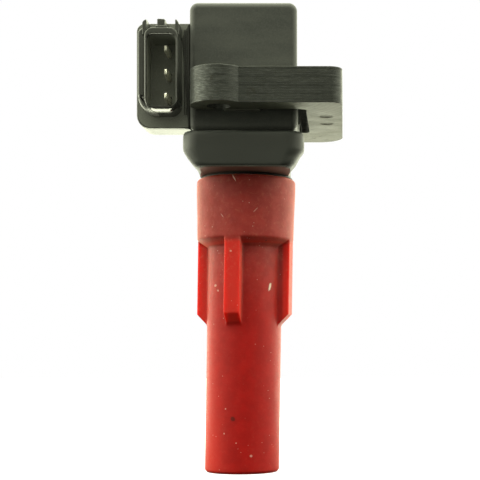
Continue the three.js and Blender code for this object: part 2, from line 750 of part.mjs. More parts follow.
const igniter = box([-7.7, 6.4], [-9.6, -1.2], [MODULE_Z0, 116.2]);
add("igniter_module", igniter, plastic(0x171817, 0.5));
add("igniter_heat_spreader", heatSpreader(), copper(0xb06a3c));
const capacitor = prismZ(roundedRect(-7.4, 1.0, -0.6, 6.2, 0.8), MODULE_Z0, 118.2, 3);
add("noise_capacitor", capacitor, plastic(0xa98a28, 0.4));
add("hv_diode", hvDiode(), plastic(0x202122, 0.4));

add("hv_terminal", turned(HV_TERMINAL_PROFILE, 16), plated(0xc9b26a, 0.3));
add("noise_resistor", turned(RESISTOR_PROFILE, 16), plastic(0xd8cfb8, 0.45));
const spring = wire(new Helix(), SPRING_WIRE_R, SPRING_TURNS * 12);
add("contact_spring", spring, plated(0xb9bcbd, 0.25));
add("plug_contact", plugContact(), plated(0xc9c6ba, 0.25));

export default part;
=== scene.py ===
"""Looks of a block-type ignition coil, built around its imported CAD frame.

The boot stands upright on its mouth with the coil block on top. -Y is the front, where the connector
opens; the connector is at -X (left) and the core's outer leg at +X (right). Shapes are modelled in
millimetres, with heights measured from the boot's mouth; settle() moves them into the frame (metres).
"""

import json
import math
import random

import bmesh
import bpy
import numpy as np
from mathutils import Matrix, Vector
from mathutils.geometry import tessellate_polygon

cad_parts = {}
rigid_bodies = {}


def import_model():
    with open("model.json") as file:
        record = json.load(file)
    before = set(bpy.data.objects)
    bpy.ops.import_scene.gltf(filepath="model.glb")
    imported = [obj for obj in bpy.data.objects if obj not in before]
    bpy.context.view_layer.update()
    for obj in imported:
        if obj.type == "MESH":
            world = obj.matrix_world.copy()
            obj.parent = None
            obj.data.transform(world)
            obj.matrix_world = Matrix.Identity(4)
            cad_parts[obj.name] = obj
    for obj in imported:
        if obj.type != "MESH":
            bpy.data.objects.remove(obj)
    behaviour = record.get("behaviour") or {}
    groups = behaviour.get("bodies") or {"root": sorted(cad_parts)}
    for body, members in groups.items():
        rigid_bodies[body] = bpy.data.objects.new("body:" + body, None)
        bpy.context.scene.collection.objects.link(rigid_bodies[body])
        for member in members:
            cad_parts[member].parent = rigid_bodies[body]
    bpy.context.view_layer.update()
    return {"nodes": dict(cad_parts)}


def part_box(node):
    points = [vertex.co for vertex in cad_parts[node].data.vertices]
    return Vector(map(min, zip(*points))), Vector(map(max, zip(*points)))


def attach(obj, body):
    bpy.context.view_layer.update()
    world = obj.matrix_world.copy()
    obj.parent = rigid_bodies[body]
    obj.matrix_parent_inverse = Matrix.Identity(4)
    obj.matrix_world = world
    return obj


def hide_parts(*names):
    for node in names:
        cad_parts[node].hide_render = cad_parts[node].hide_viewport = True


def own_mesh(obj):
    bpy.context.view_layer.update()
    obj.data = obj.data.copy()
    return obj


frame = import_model()

MM = 0.001
MOUTH_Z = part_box("boot")[0].z
TO_FRAME = Matrix.Translation((0, 0, MOUTH_Z)) @ Matrix.Scale(MM, 4)
COIL, BOOT, CONTACT = "coil_body", "spark_plug_boot", "sprung_contact"

# Sizes shared by several pieces
CASE_X, CASE_Y, CASE_Z = (-13.95, 14.5), (-16.0, 15.6), (91.3, 125.6)
CAVITY_X, CAVITY_Z = (-10.9, 11.4), (92.8, 124.1)
BAR_SLOT_X, BAR_SLOT_Z = (-5.1, 5.1), (96.7, 106.6)
WINDOW_FRONT_Y, WINDOW_Z = -9.4, (98.2, 114.8)  # opening between case and connector
COIL_FRONT, COIL_BACK, COIL_AXIS_Z = -13.2, 12.6, 101.65


# ------------------------------------------------------------------ mesh helpers
class Shape:
    """Vertices and faces of one piece, in millimetres."""

    def __init__(self):
        self.verts = []
        self.faces = []

    def ring(self, points):
        start = len(self.verts)
        self.verts.extend(tuple(map(float, p)) for p in points)
        return list(range(start, start + len(points)))

    def bridge(self, lower, upper):
        count = len(lower)
        for i in range(count):
            j = (i + 1) % count
            self.faces.append((lower[i], lower[j], upper[j], upper[i]))

    def tube(self, rings):
        for lower, upper in zip(rings, rings[1:]):
            self.bridge(lower, upper)

    def cap(self, *loops):
        """Close one loop with a single face, or an outline with holes with triangles."""
        if len(loops) == 1:
            self.faces.append(tuple(loops[0]))
            return
        flat = [i for loop in loops for i in loop]
        outlines = [[Vector(self.verts[i]) for i in loop] for loop in loops]
        for triangle in tessellate_polygon(outlines):
            self.faces.append(tuple(flat[k] for k in triangle))

    def object(self, name):
        mesh = bpy.data.meshes.new(name)
        mesh.from_pydata(self.verts, [], self.faces)
        bm = bmesh.new()
        bm.from_mesh(mesh)
        bmesh.ops.remove_doubles(bm, verts=bm.verts, dist=1e-5)
        bmesh.ops.dissolve_degenerate(bm, edges=bm.edges, dist=1e-6)
        bmesh.ops.recalc_face_normals(bm, faces=bm.faces)
        bm.to_mesh(mesh)
        bm.free()
        ob = bpy.data.objects.new(name, mesh)
        bpy.context.scene.collection.objects.link(ob)
        return ob


def combine(target, others, operation="UNION"):
    """Join the others to the target, or cut them from it, and remove them."""
    for other in others:
        modifier = target.modifiers.new("join", "BOOLEAN")
        modifier.operation = operation
        modifier.solver = "MANIFOLD"
        modifier.object = other
        bpy.context.view_layer.update()
        depsgraph = bpy.context.evaluated_depsgraph_get()
        mesh = bpy.data.meshes.new_from_object(target.evaluated_get(depsgraph))
        target.modifiers.clear()
        old = target.data
        target.data = mesh
        bpy.data.meshes.remove(old)
        bpy.data.objects.remove(other)


def weight_normals(ob, keep_sharp):
    modifier = ob.modifiers.new("normals", "WEIGHTED_NORMAL")
    modifier.keep_sharp = keep_sharp
    modifier.weight = 80


def settle(ob, node, material, sharp=38, body=COIL):
    """Move a piece into the frame, finish it and let it stand for a CAD node."""
    ob.data.transform(TO_FRAME)
    ob.data.materials.clear()
    ob.data.materials.append(material)
    ob.data.shade_smooth()
    ob.data.set_sharp_from_angle(angle=math.radians(sharp))
    weight_normals(ob, keep_sharp=True)
    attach(ob, body)
    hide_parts(node)
    return ob


# Outlines are lists of (first, second) coordinates in one plane.
def at_y(y, outline):
    return [(x, y, z) for x, z in outline]


def at_z(z, outline):
    return [(x, y, z) for x, y in outline]


def grow(span, amount):
    return (span[0] - amount, span[1] + amount)


def around(steps):
    """Evenly spaced angles of one turn, in radians."""
    return [2 * math.pi * i / steps for i in range(steps)]


def oval(radius_x, radius_y, steps, x=0, y=0):
    return [(x + radius_x * math.cos(t), y + radius_y * math.sin(t)) for t in around(steps)]


def arc(centre_x, centre_y, radius, start, end, steps):
    """Points on an arc, angles in degrees, both ends included."""
    points = []
    for i in range(steps + 1):
        angle = math.radians(start + (end - start) * i / steps)
        points.append((centre_x + radius * math.cos(angle), centre_y + radius * math.sin(angle)))
    return points


def four(radii):
    return radii if isinstance(radii, (list, tuple)) else [radii] * 4


def rounded(across, upward, radii, steps):
    """Rounded rectangle; one radius or four, counter-clockwise from the low corner."""
    left, right = across
    low, high = upward
    first, second, third, fourth = [max(radius, 0.05) for radius in four(radii)]
    return (
        arc(left + first, low + first, first, 180, 270, steps)
        + arc(right - second, low + second, second, 270, 360, steps)
        + arc(right - third, high - third, third, 0, 90, steps)
        + arc(left + fourth, high - fourth, fourth, 90, 180, steps)
    )


def fillet(radius, steps=5):
    """(distance along the side, inset) pairs of a quarter round that starts on the end face."""
    return [
        (radius * (1 - math.cos(t * math.pi / 2)), radius * (1 - math.sin(t * math.pi / 2)))
        for t in [i / steps for i in range(steps + 1)]
    ]


def loft(name, sections):
    """Solid through closed loops of 3D points, capped at both ends."""
    shape = Shape()
    rings = [shape.ring(points) for points in sections]
    shape.tube(rings)
    shape.cap(rings[0])
    shape.cap(rings[-1])
    return shape.object(name)


def block(name, across, depth, upward, radii, front, back, steps):
    """Solid along Y between X, Y and Z spans: rounded section, fillets at its front and back."""
    stations = [(depth[0] + run, inset) for run, inset in fillet(front)]
    stations += [(depth[1] - run, inset) for run, inset in reversed(fillet(back))]
    sections = []
    for y, inset in stations:
        corners = [max(radius - inset, 0.06) for radius in four(radii)]
        sections.append(at_y(y, rounded(grow(across, -inset), grow(upward, -inset), corners, steps)))
    return loft(name, sections)


def upright_cylinder(name, bottom, top, radius, steps):
    return loft(name, [at_z(z, oval(radius, radius, steps)) for z in (bottom, top)])


def turned(name, profile, steps):
    """Profile of (radius, height) pairs about the Z axis; a zero radius is a point on the axis."""
    shape = Shape()
    rings = []
    for radius, z in profile:
        on_axis = radius <= 1e-6
        rings.append(shape.ring([(0, 0, z)] if on_axis else at_z(z, oval(radius, radius, steps))))
    for lower, upper in zip(rings, rings[1:]):
        if len(lower) == 1:
            shape.faces.extend((lower[0], upper[i], upper[(i + 1) % steps]) for i in range(steps))
        elif len(upper) == 1:
            shape.faces.extend((upper[0], lower[(i + 1) % steps], lower[i]) for i in range(steps))
        else:
            shape.bridge(lower, upper)
    return shape.object(name)


def soft_profile(points, radius, steps=4):
    """A profile whose inner corners are rounded off by about the radius."""
    softened = [points[0]]
    for before, corner, after in zip(points, points[1:], points[2:]):
        before, corner, after = Vector(before), Vector(corner), Vector(after)
        back, ahead = before - corner, after - corner
        reach = min(radius, back.length * 0.45, ahead.length * 0.45)
        start = corner + back.normalized() * reach
        end = corner + ahead.normalized() * reach
        for i in range(steps + 1):
            t = i / steps
            softened.append(tuple(start * (1 - t) ** 2 + corner * 2 * t * (1 - t) + end * t * t))
    softened.append(points[-1])
    return softened


def inset_loop(points, distance):
    """A closed counter-clockwise outline moved inwards."""
    moved = []
    neighbours = zip(points[-1:] + points[:-1], points, points[1:] + points[:1])
    for before, corner, after in neighbours:
        before, corner, after = Vector(before), Vector(corner), Vector(after)
        side_in, side_out = (corner - before).normalized(), (after - corner).normalized()
        normal = Vector((-side_in.y, side_in.x))
        mitre = normal + Vector((-side_out.y, side_out.x))
        mitre = mitre.normalized() if mitre.length > 1e-6 else normal
        moved.append(tuple(corner + mitre * (distance / max(mitre.dot(normal), 0.35))))
    return moved


def lookup(table, position):
    """Piecewise linear value of a table of (position, value) pairs."""
    positions, values = zip(*table)
    return float(np.interp(position, positions, values))


# ------------------------------------------------------------------ material helpers
class Nodes:
    """The emptied node tree of a material or a world; numbers and sockets are both put on inputs."""

    def __init__(self, owner):
        owner.use_nodes = True
        self.tree = owner.node_tree
        self.tree.nodes.clear()

    def node(self, kind, inputs=None, **properties):
        made = self.tree.nodes.new(kind)
        for key, value in properties.items():
            setattr(made, key, value)
        for key, value in (inputs or {}).items():
            self.put(made.inputs[key], value)
        return made

    def put(self, socket, value):
        if isinstance(value, bpy.types.NodeSocket):
            self.tree.links.new(value, socket)
        elif isinstance(value, tuple) and len(value) == 3 and len(socket.default_value) == 4:
            socket.default_value = (*value, 1)
        else:
            socket.default_value = value

    def ramp(self, value, between, to=(0.0, 1.0)):
        """A smooth step of the value from one range to another; either may run downwards."""
        inputs = {
            "Value": value,
            "From Min": between[0],
            "From Max": between[1],
            "To Min": to[0],
            "To Max": to[1],
        }
        return self.node("ShaderNodeMapRange", inputs, interpolation_type="SMOOTHSTEP").outputs[0]

    def calc(self, operation, first, second=0.0):
        return self.node("ShaderNodeMath", {0: first, 1: second}, operation=operation).outputs[0]

    def add(self, first, second):
        return self.calc("ADD", first, second)

    def times(self, first, second):
        return self.calc("MULTIPLY", first, second)

    def weighted(self, first, first_weight, second, second_weight):
        return self.add(self.times(first, first_weight), self.times(second, second_weight))

    def distance(self, first, second):
        """Root of the sum of two squares."""
        squares = self.add(self.times(first, first), self.times(second, second))
        return self.calc("SQRT", squares)

    def mix(self, factor, first, second):
        inputs = {0: factor, 6: first, 7: second}
        return self.node("ShaderNodeMix", inputs, data_type="RGBA").outputs[2]


class Finish(Nodes):
    """A procedural material around one Principled shader, on the piece's coordinates in metres."""

    def __init__(self, name):
        self.material = bpy.data.materials.new(name)
        super().__init__(self.material)
        self.shader = self.node("ShaderNodeBsdfPrincipled")
        self.node("ShaderNodeOutputMaterial", {0: self.shader.outputs[0]})
        self.coords = self.node("ShaderNodeTexCoord").outputs["Object"]

    def done(self, **values):
        """Put the values on the shader and return the material."""
        for key, value in values.items():
            self.put(self.shader.inputs[key.replace("_", " ")], value)
        return self.material

    def scaled(self, x, y, z):
        inputs = {"Vector": self.coords, "Scale": (x, y, z)}
        return self.node("ShaderNodeMapping", inputs).outputs[0]

    def noise(self, scale, detail=2.0, rough=0.5, coords=None, distortion=0.0):
        inputs = {
            "Vector": coords or self.coords,
            "Scale": scale,
            "Detail": detail,
            "Roughness": rough,
            "Distortion": distortion,
        }
        return self.node("ShaderNodeTexNoise", inputs).outputs[0]

    def cells(self, scale):
        inputs = {"Vector": self.coords, "Scale": scale}
        return self.node("ShaderNodeTexVoronoi", inputs).outputs["Distance"]

    def axis(self, name, source=None):
        return self.node("ShaderNodeSeparateXYZ", {0: source or self.coords}).outputs[name]

    def bump(self, height, strength, distance):
        inputs = {"Strength": strength, "Distance": distance, "Height": height}
        return self.node("ShaderNodeBump", inputs).outputs[0]


def tone(colour, factor):
    return tuple(min(1, factor * channel) for channel in colour)


def plastic(name, dark, light, rough=0.5, grain=2e-5, specular=0.5):
    """Glass-filled moulding: spark-eroded grain (metres), flow clouds, a few pale fibre specks."""
    f = Finish(name)
    clouds = f.noise(130, detail=5, rough=0.62, coords=f.scaled(0.45, 1, 1.9))
    fine = f.noise(2600, detail=3, rough=0.6)
    fibres = f.cells(1500)
    colour = f.mix(f.ramp(clouds, (0.3, 0.72)), dark, light)
    colour = f.mix(f.ramp(fine, (0.35, 0.75), to=(0.0, 0.35)), colour, tone(light, 1.6))
    colour = f.mix(f.ramp(fibres, (0.09, 0.03), to=(0.0, 0.5)), colour, tone(light, 3.2))
    height = f.weighted(fine, 0.7, f.noise(900, detail=2), 0.5)
    texture = f.weighted(clouds, 0.5, fine, 0.5)
    return f.done(
        Base_Color=colour,
        Roughness=f.ramp(texture, (0.3, 0.7), to=(rough - 0.06, rough + 0.08)),
        Specular_IOR_Level=specular,
        Normal=f.bump(height, strength=0.55, distance=grain),
    )


def metal(name, colour, tarnish, rough, scale, amount, brushed=None):
    """Metal with an amount of blotchy tarnish; brushed scales X, Y and Z of its fine lines."""
    f = Finish(name)
    line_coords = f.scaled(*brushed) if brushed else f.coords
    lines = f.noise(scale * 6, detail=3, rough=0.6, coords=line_coords)
    blotches = f.noise(scale, detail=4, rough=0.6)
    texture = f.weighted(lines, 0.5, blotches, 0.5)
    return f.done(
        Base_Color=f.mix(f.ramp(blotches, (0.42, 0.72), to=(0, amount)), colour, tarnish),
        Metallic=1.0,
        Roughness=f.ramp(texture, (0.3, 0.7), to=(rough * 0.75, rough * 1.35)),
        Normal=f.bump(lines, strength=0.35, distance=1e-5),
    )


def lamination(name, sheet, edge):
    """Stacked electrical steel: dull cut edges, brighter rolled faces with arc-shaped drag marks."""
    f = Finish(name)
    normal = f.node("ShaderNodeNewGeometry").outputs["Normal"]
    face = f.ramp(f.calc("ABSOLUTE", f.axis("Z", normal)), (0.6, 0.9))
    # cut edges, paler towards the left with a painted highlight
    streak = f.noise(260, detail=4, rough=0.65, coords=f.scaled(1, 1, 16))
    fleck = f.noise(1500, detail=3, rough=0.6, coords=f.scaled(0.5, 0.5, 1.6))
    left = f.ramp(f.axis("X"), (-0.001, -0.008))
    cut = f.mix(f.ramp(streak, (0.34, 0.68)), tone(edge, 0.72), tone(edge, 1.35))
    cut = f.mix(f.ramp(fleck, (0.5, 0.72), to=(0, 0.5)), cut, tone(edge, 2.4))
    # painted highlight: pale patches on the cut edges, growing towards the left where the light falls
    pale_patch_noise = f.noise(700, detail=4, rough=0.7, coords=f.scaled(1, 1, 3))
    pale_patches = f.ramp(pale_patch_noise, (0.42, 0.66), to=(0, 0.8))
    cut = f.mix(f.times(left, pale_patches), cut, tone(edge, 3.0))
    rust = f.ramp(f.noise(210, detail=5, rough=0.7), (0.60, 0.72), to=(0, 0.75))
    cut = f.mix(rust, cut, (0.022, 0.020, 0.015))
    # rolled faces, with arcs about a point in front of the core
    moved = f.node(
        "ShaderNodeVectorMath", {0: f.coords, 1: (0.004, 0.034, 0)}, operation="ADD"
    ).outputs[0]
    wave = f.node(
        "ShaderNodeTexWave",
        {"Vector": moved, "Scale": 190, "Distortion": 5, "Detail": 3, "Detail Scale": 30},
        wave_type="RINGS",
        rings_direction="Z",
        wave_profile="SIN",
    ).outputs[1]
    cloud = f.noise(170, detail=5, rough=0.62)
    grime = f.noise(480, detail=4, rough=0.7)
    rolled = f.mix(f.ramp(wave, (0.25, 0.9), to=(0, 0.55)), sheet, tone(sheet, 0.62))
    rolled = f.mix(f.ramp(cloud, (0.4, 0.7), to=(0, 0.6)), rolled, tone(sheet, 1.3))
    rolled = f.mix(f.ramp(grime, (0.54, 0.70), to=(0, 0.75)), rolled, (0.055, 0.055, 0.046))
    cloud_rough = f.ramp(cloud, (0.3, 0.7), to=(0.40, 0.52))
    return f.done(
        Base_Color=f.mix(face, cut, rolled),
        Metallic=f.ramp(face, (0, 1), to=(0.45, 0.25)),
        Specular_IOR_Level=f.ramp(face, (0, 1), to=(0.5, 0.22)),
        Roughness=f.add(cloud_rough, f.times(face, 0.14)),
        Normal=f.bump(f.weighted(streak, 0.8, fleck, 0.4), strength=0.6, distance=4e-5),
    )


PALE_MARK, DUSTY_MARK, PIT_MARK = (0.86, 0.62, 0.50), (0.66, 0.36, 0.29), (0.085, 0.004, 0.003)
# Lint, spots and one dark pit on the boot's front:
# x, height above the mouth, half width, half height (mm), tilt, colour, strength
BOOT_MARKS = (
    (-2.95, 15.0, 0.62, 0.62, 0.0, PIT_MARK, 0.85),
    (6.8, 50.8, 0.26, 1.05, 0.18, PALE_MARK, 1.0),
    (-2.34, 79.4, 0.20, 0.85, -0.5, PALE_MARK, 0.8),
    (-8.0, 51.1, 0.34, 0.30, 0.0, DUSTY_MARK, 0.8),
    (-7.2, 49.7, 0.26, 0.24, 0.0, DUSTY_MARK, 0.8),
    (-3.3, 60.0, 0.30, 0.22, 0.0, DUSTY_MARK, 0.8),
    (1.9, 5.0, 0.34, 0.30, 0.0, DUSTY_MARK, 0.9),
    (-5.0, 17.7, 0.20, 0.20, 0.0, DUSTY_MARK, 0.8),
    (-5.4, 11.0, 0.20, 0.22, 0.0, DUSTY_MARK, 0.8),
    (-2.1, 8.5, 0.22, 0.20, 0.0, DUSTY_MARK, 0.8),
    (3.4, 71.0, 0.16, 0.60, 0.9, DUSTY_MARK, 0.6),
    (-5.6, 69.5, 0.15, 0.50, -0.7, DUSTY_MARK, 0.6),
)


def silicone():
    """Dusty red silicone: subsurface glow, a powdery sheen, specks and lint marks."""
    f = Finish("red_silicone")
    height = f.axis("Z")
    # clean and deep red below; duller and darker on the collar, partly handling bloom and partly
    # painted shade under the block
    top = f.ramp(height, (0.012, 0.040))
    mottle = f.noise(330, detail=4, rough=0.6)
    fine = f.noise(1700, detail=3, rough=0.65)
    clean = f.mix(f.ramp(mottle, (0.32, 0.7)), (0.36, 0.0030, 0.0030), (0.43, 0.0055, 0.0050))
    dull = f.mix(f.ramp(mottle, (0.32, 0.7)), (0.29, 0.023, 0.021), (0.37, 0.040, 0.036))
    colour = f.mix(top, clean, dull)
    # the fins are painted a brighter red: painted glow of their thin walls lit from behind
    x, y = f.axis("X"), f.axis("Y")
    radius = f.distance(x, y)
    fin = f.times(f.ramp(radius, (0.0106, 0.0114)), f.ramp(height, (0.0358, 0.0342)))
    colour = f.mix(fin, colour, (0.56, 0.016, 0.010))
    bloom = f.noise(900, detail=5, rough=0.7, distortion=0.4)
    dust = f.times(f.ramp(bloom, (0.50, 0.74)), f.ramp(top, (0, 1), to=(0.05, 0.22)))
    colour = f.mix(dust, colour, (0.62, 0.20, 0.13))
    # pale specks and dark pits, each kept only where a broad noise is high
    specks = f.ramp(f.cells(640), (0.12, 0.05))
    chosen = f.times(specks, f.ramp(f.noise(260, detail=1), (0.50, 0.55)))
    speck_cover = f.times(chosen, f.ramp(top, (0, 1), to=(0.35, 0.6)))
    colour = f.mix(speck_cover, colour, (0.80, 0.50, 0.42))
    pits = f.ramp(f.cells(210), (0.075, 0.05))
    pits = f.times(pits, f.ramp(f.noise(90, detail=1), (0.60, 0.63)))
    colour = f.mix(f.times(pits, 0.75), colour, (0.10, 0.010, 0.008))
    ragged = f.times(f.calc("SUBTRACT", f.noise(2200, detail=2), 0.5), 0.9)
    facing = f.ramp(y, (-0.001, -0.003))
    for mark_x, mark_z, half_width, half_height, tilt, shade, strength in BOOT_MARKS:
        aside = f.calc("SUBTRACT", x, mark_x * MM)
        above = f.calc("SUBTRACT", height, MOUTH_Z + mark_z * MM)
        leaning = f.calc("SUBTRACT", aside, f.times(above, tilt))
        across = f.calc("DIVIDE", leaning, half_width * MM)
        along = f.calc("DIVIDE", above, half_height * MM)
        ragged_distance = f.add(f.distance(across, along), ragged)
        spot = f.times(f.ramp(ragged_distance, (1.25, 0.7), to=(0, strength)), facing)
        colour = f.mix(spot, colour, shade)
    return f.done(
        Base_Color=colour,
        Roughness=f.add(f.ramp(fine, (0.3, 0.7), to=(0.40, 0.56)), f.times(top, 0.06)),
        Subsurface_Weight=0.85,
        Subsurface_Radius=(1.0, 0.10, 0.06),
        Subsurface_Scale=0.0040,
        Specular_IOR_Level=0.24,
        Sheen_Weight=f.add(f.times(top, 0.34), 0.28),
        Sheen_Roughness=0.42,
        Sheen_Tint=(1.0, 0.38, 0.27),
        Normal=f.bump(f.weighted(fine, 0.5, mottle, 0.6), strength=0.5, distance=5e-5),
    )


def ceramic():
    """Glazed, cream-coloured ceramic with dark specks."""
    f = Finish("resistor_ceramic")
    speck = f.cells(900)
    cloud = f.noise(220, detail=4, rough=0.6)
    colour = f.mix(f.ramp(cloud, (0.35, 0.7)), (0.62, 0.56, 0.44), (0.74, 0.69, 0.56))
    colour = f.mix(f.ramp(speck, (0.12, 0.05), to=(0, 0.5)), colour, (0.30, 0.24, 0.17))
    return f.done(
        Base_Color=colour,
        Roughness=f.ramp(cloud, (0.3, 0.7), to=(0.3, 0.5)),
        Coat_Weight=0.25,
        Coat_Roughness=0.2,
        Normal=f.bump(f.noise(1800, detail=3), strength=0.4, distance=2e-5),
    )


def resin():
    """Black glossy epoxy with slow ripples and small bubbles."""
    f = Finish("epoxy_resin")
    cloud = f.noise(120, detail=4, rough=0.6)
    ripple = f.noise(260, detail=2, rough=0.4, distortion=1.2)
    bubble = f.ramp(f.cells(420), (0.11, 0.04))
    colour = f.mix(f.ramp(cloud, (0.35, 0.7)), (0.010, 0.010, 0.009), (0.018, 0.017, 0.015))
    colour = f.mix(f.times(bubble, 0.4), colour, (0.06, 0.055, 0.045))
    height = f.calc("SUBTRACT", f.times(ripple, 0.9), f.times(bubble, 0.5))
    return f.done(
        Base_Color=colour,
        Roughness=f.ramp(cloud, (0.3, 0.7), to=(0.14, 0.26)),
        Coat_Weight=0.4,
        Coat_Roughness=0.08,
        Normal=f.bump(height, strength=0.5, distance=1e-4),
    )


def enamelled(name, wire, dark):
    """Enamelled copper, with the shade of its varnish changing from turn to turn."""
    f = Finish(name)
    turns = f.noise(1400, detail=2, coords=f.scaled(0.05, 1, 0.05))
    cloud = f.noise(260, detail=4, rough=0.6)
    colour = f.mix(f.ramp(turns, (0.35, 0.66)), wire, dark)
    colour = f.mix(f.ramp(cloud, (0.5, 0.75), to=(0, 0.4)), colour, tone(wire, 0.5))
    return f.done(
        Base_Color=colour,
        Metallic=0.85,
        Roughness=f.ramp(turns, (0.3, 0.7), to=(0.22, 0.36)),
        Coat_Weight=0.6,
        Coat_Roughness=0.12,
        Coat_Tint=(1.0, 0.72, 0.45),
        Normal=f.bump(f.noise(2500, detail=2), strength=0.2, distance=1e-5),
    )


# ------------------------------------------------------------------ materials
# plastics: dark and light shade
CASE = plastic("case_plastic", (0.0235, 0.0255, 0.0245), (0.0400, 0.0420, 0.0390), grain=3e-5)
BLOCK = plastic("block_plastic", (0.0125, 0.0138, 0.0128), (0.0165, 0.0180, 0.0168), grain=3e-5)
# painted light: the socket's inside, much paler than the same plastic outside
SOCKET_INSIDE_LIT = plastic("connector_inside_painted_light", (0.110, 0.114, 0.104), (0.140, 0.145, 0.132))
SOCKET_SHADES = (0.024, 0.025, 0.023), (0.031, 0.032, 0.030)
POLISHED = plastic("connector_polished", *SOCKET_SHADES, rough=0.15, grain=4e-6, specular=0.75)
SOCKET = plastic("connector_plastic", *SOCKET_SHADES, rough=0.36)
# painted reflection of the red boot on the block's underside
UNDERSIDE_BOOT_REFLECTION = plastic(
    "block_underside_painted_reflection", (0.120, 0.060, 0.050), (0.150, 0.080, 0.066), grain=3e-5, specular=0.4
)
# painted highlight for the block's front bottom edge
BLOCK_EDGE_HIGHLIGHT = plastic("block_edge_painted_highlight", (0.130, 0.132, 0.122), (0.160, 0.162, 0.150), rough=0.45)
# red of the boot's silicone lip, lightened with painted light for the shade under the block
SILICONE_LIP_LIT = plastic(
    "silicone_lip_painted_light",
    (0.46, 0.115, 0.090),
    (0.56, 0.150, 0.120),
    rough=0.55,
    grain=3e-5,
    specular=0.3,
)
DARK_BOBBIN = plastic("bobbin_dark", (0.018, 0.019, 0.018), (0.028, 0.029, 0.027))
LIGHT_BOBBIN = plastic("bobbin_light", (0.40, 0.39, 0.33), (0.52, 0.50, 0.43))
ELECTRONICS = plastic("electronics_black", (0.009, 0.0095, 0.009), (0.014, 0.014, 0.013), rough=0.4)
CAPACITOR = plastic("capacitor_shell", (0.36, 0.22, 0.03), (0.46, 0.30, 0.05), rough=0.32)

# steel stacks: rolled face and cut edge
CORE = lamination("core_lamination", sheet=(0.135, 0.138, 0.112), edge=(0.036, 0.038, 0.037))
BARE_CORE = lamination("bare_lamination", sheet=(0.36, 0.36, 0.33), edge=(0.16, 0.16, 0.15))

# metals: bright and tarnished colour
TINNED = metal(
    "tinned_terminal",
    (0.95, 0.93, 0.84),
    (0.78, 0.74, 0.60),
    rough=0.42,
    scale=500,
    amount=0.35,
    brushed=(1, 0.2, 1),
)
SPRING = metal(
    "spring_steel", (0.62, 0.62, 0.60), (0.40, 0.39, 0.36), rough=0.24, scale=900, amount=0.4
)
PLUG = metal(
    "contact_metal",
    (0.74, 0.72, 0.66),
    (0.50, 0.47, 0.40),
    rough=0.3,
    scale=350,
    amount=0.5,
    brushed=(1, 1, 6),
)
BRASS = metal(
    "brass_terminal",
    (0.80, 0.61, 0.27),
    (0.50, 0.34, 0.14),
    rough=0.3,
    scale=350,
    amount=0.5,
    brushed=(1, 1, 5),
)
MAGNET = metal("magnet", (0.33, 0.34, 0.36), (0.16, 0.16, 0.17), rough=0.3, scale=500, amount=0.6)

SILICONE = silicone()
CERAMIC = ceramic()
RESIN = resin()
COPPER = enamelled("copper", wire=(0.72, 0.26, 0.10), dark=(0.50, 0.15, 0.05))
FINE_COPPER = enamelled("copper_fine", wire=(0.78, 0.32, 0.12), dark=(0.58, 0.20, 0.07))


# ------------------------------------------------------------------ boot
TUBE_RADIUS, COLLAR_RADIUS = 10.25, 13.6
# height, outer radius
BOOT_RADII = [
    (-5, TUBE_RADIUS), (61.9, TUBE_RADIUS), (63.9, 13.28),
    (70, 13.38), (76.5, COLLAR_RADIUS), (90, COLLAR_RADIUS),
]
# radius, height: from the outer wall in to the flat of the mouth
BOOT_MOUTH = [(TUBE_RADIUS, 0.95), (TUBE_RADIUS - 0.02, 0.62), (9.7, 0.0), (9.2, 0.0)]
# radius, height: from the rim down the bore to the mouth
BOOT_BORE = [
    (11.6, 80.6), (9.3, 80.6), (8.6, 79.5), (8.45, 68.0), (8.2, 55.6), (5.0, 55.6), (5.0, 40.0),
    (5.0, 22.0), (5.4, 20.0), (5.4, 10.0), (5.4, 1.5), (6.35, 0.05), (8.0, 0.0),
]
FIN_ANGLES = range(-11, 349, 90)  # degrees from the front, towards +X
FIN_HALF_WIDTH, FIN_REACH, FIN_FOOT, FIN_TOP = 2.15, 13.1, 43.6, 63.6
FIN_EDGE, FIN_BLEND = 0.28, 0.55  # radius of the fin's edges; width of its blend into the tube
# degrees either side of a fin's middle, closest at its flanks
FIN_OFFSETS = [
    0, 2, 4, 6, 7.4, 8.2, 8.7, 9.1, 9.4, 9.7, 10.0, 10.3, 10.7, 11.1, 11.5, 11.9, 12.3, 12.7,
    13.1, 13.7, 14.5, 15.6, 17.2, 19.2,
]


def boot_radius(z):
    """Outer radius at heights z, its corners softened over about half a millimetre."""
    offsets = np.linspace(-0.45, 0.45, 13)
    weights = 1 - np.abs(offsets) / 0.5
    heights, radii = zip(*BOOT_RADII)
    nearby = np.interp(z[..., None] + offsets, heights, radii)
    return (nearby * weights).sum(-1) / weights.sum()


def boot_distance(radius, angle, z):
    """Signed distance from the boot's outside, negative within the tube or a fin."""
    x, y = radius * np.sin(angle), -radius * np.cos(angle)
    slope = np.abs(boot_radius(z + 0.1) - boot_radius(z - 0.1)) / 0.2
    result = (radius - boot_radius(z)) / np.sqrt(1 + slope**2)
    for degrees in FIN_ANGLES:
        turn = math.radians(degrees)
        outward = x * math.sin(turn) - y * math.cos(turn)
        sideways = x * math.cos(turn) + y * math.sin(turn)
        flank = np.abs(sideways) - (FIN_HALF_WIDTH - FIN_EDGE)
        crest = outward - (FIN_REACH - FIN_EDGE)
        foot = (crest - (z - FIN_FOOT)) * 0.7071  # drawn in at 45 degrees
        end = np.maximum(np.maximum(crest, foot), z - (FIN_TOP - FIN_EDGE))
        fin = np.hypot(np.maximum(flank, 0), np.maximum(end, 0))
        fin = fin + np.minimum(np.maximum(flank, end), 0) - FIN_EDGE
        fin = np.where(outward > 0, fin, 5.0)
        share = np.clip(0.5 + 0.5 * (fin - result) / FIN_BLEND, 0, 1)
        result = fin * (1 - share) + result * share - FIN_BLEND * share * (1 - share)
    return result


def boot_lean(z):
    """Sideways shift of the boot, which hangs slightly askew from the block."""
    return -0.0150 * (91 - z) - 0.02


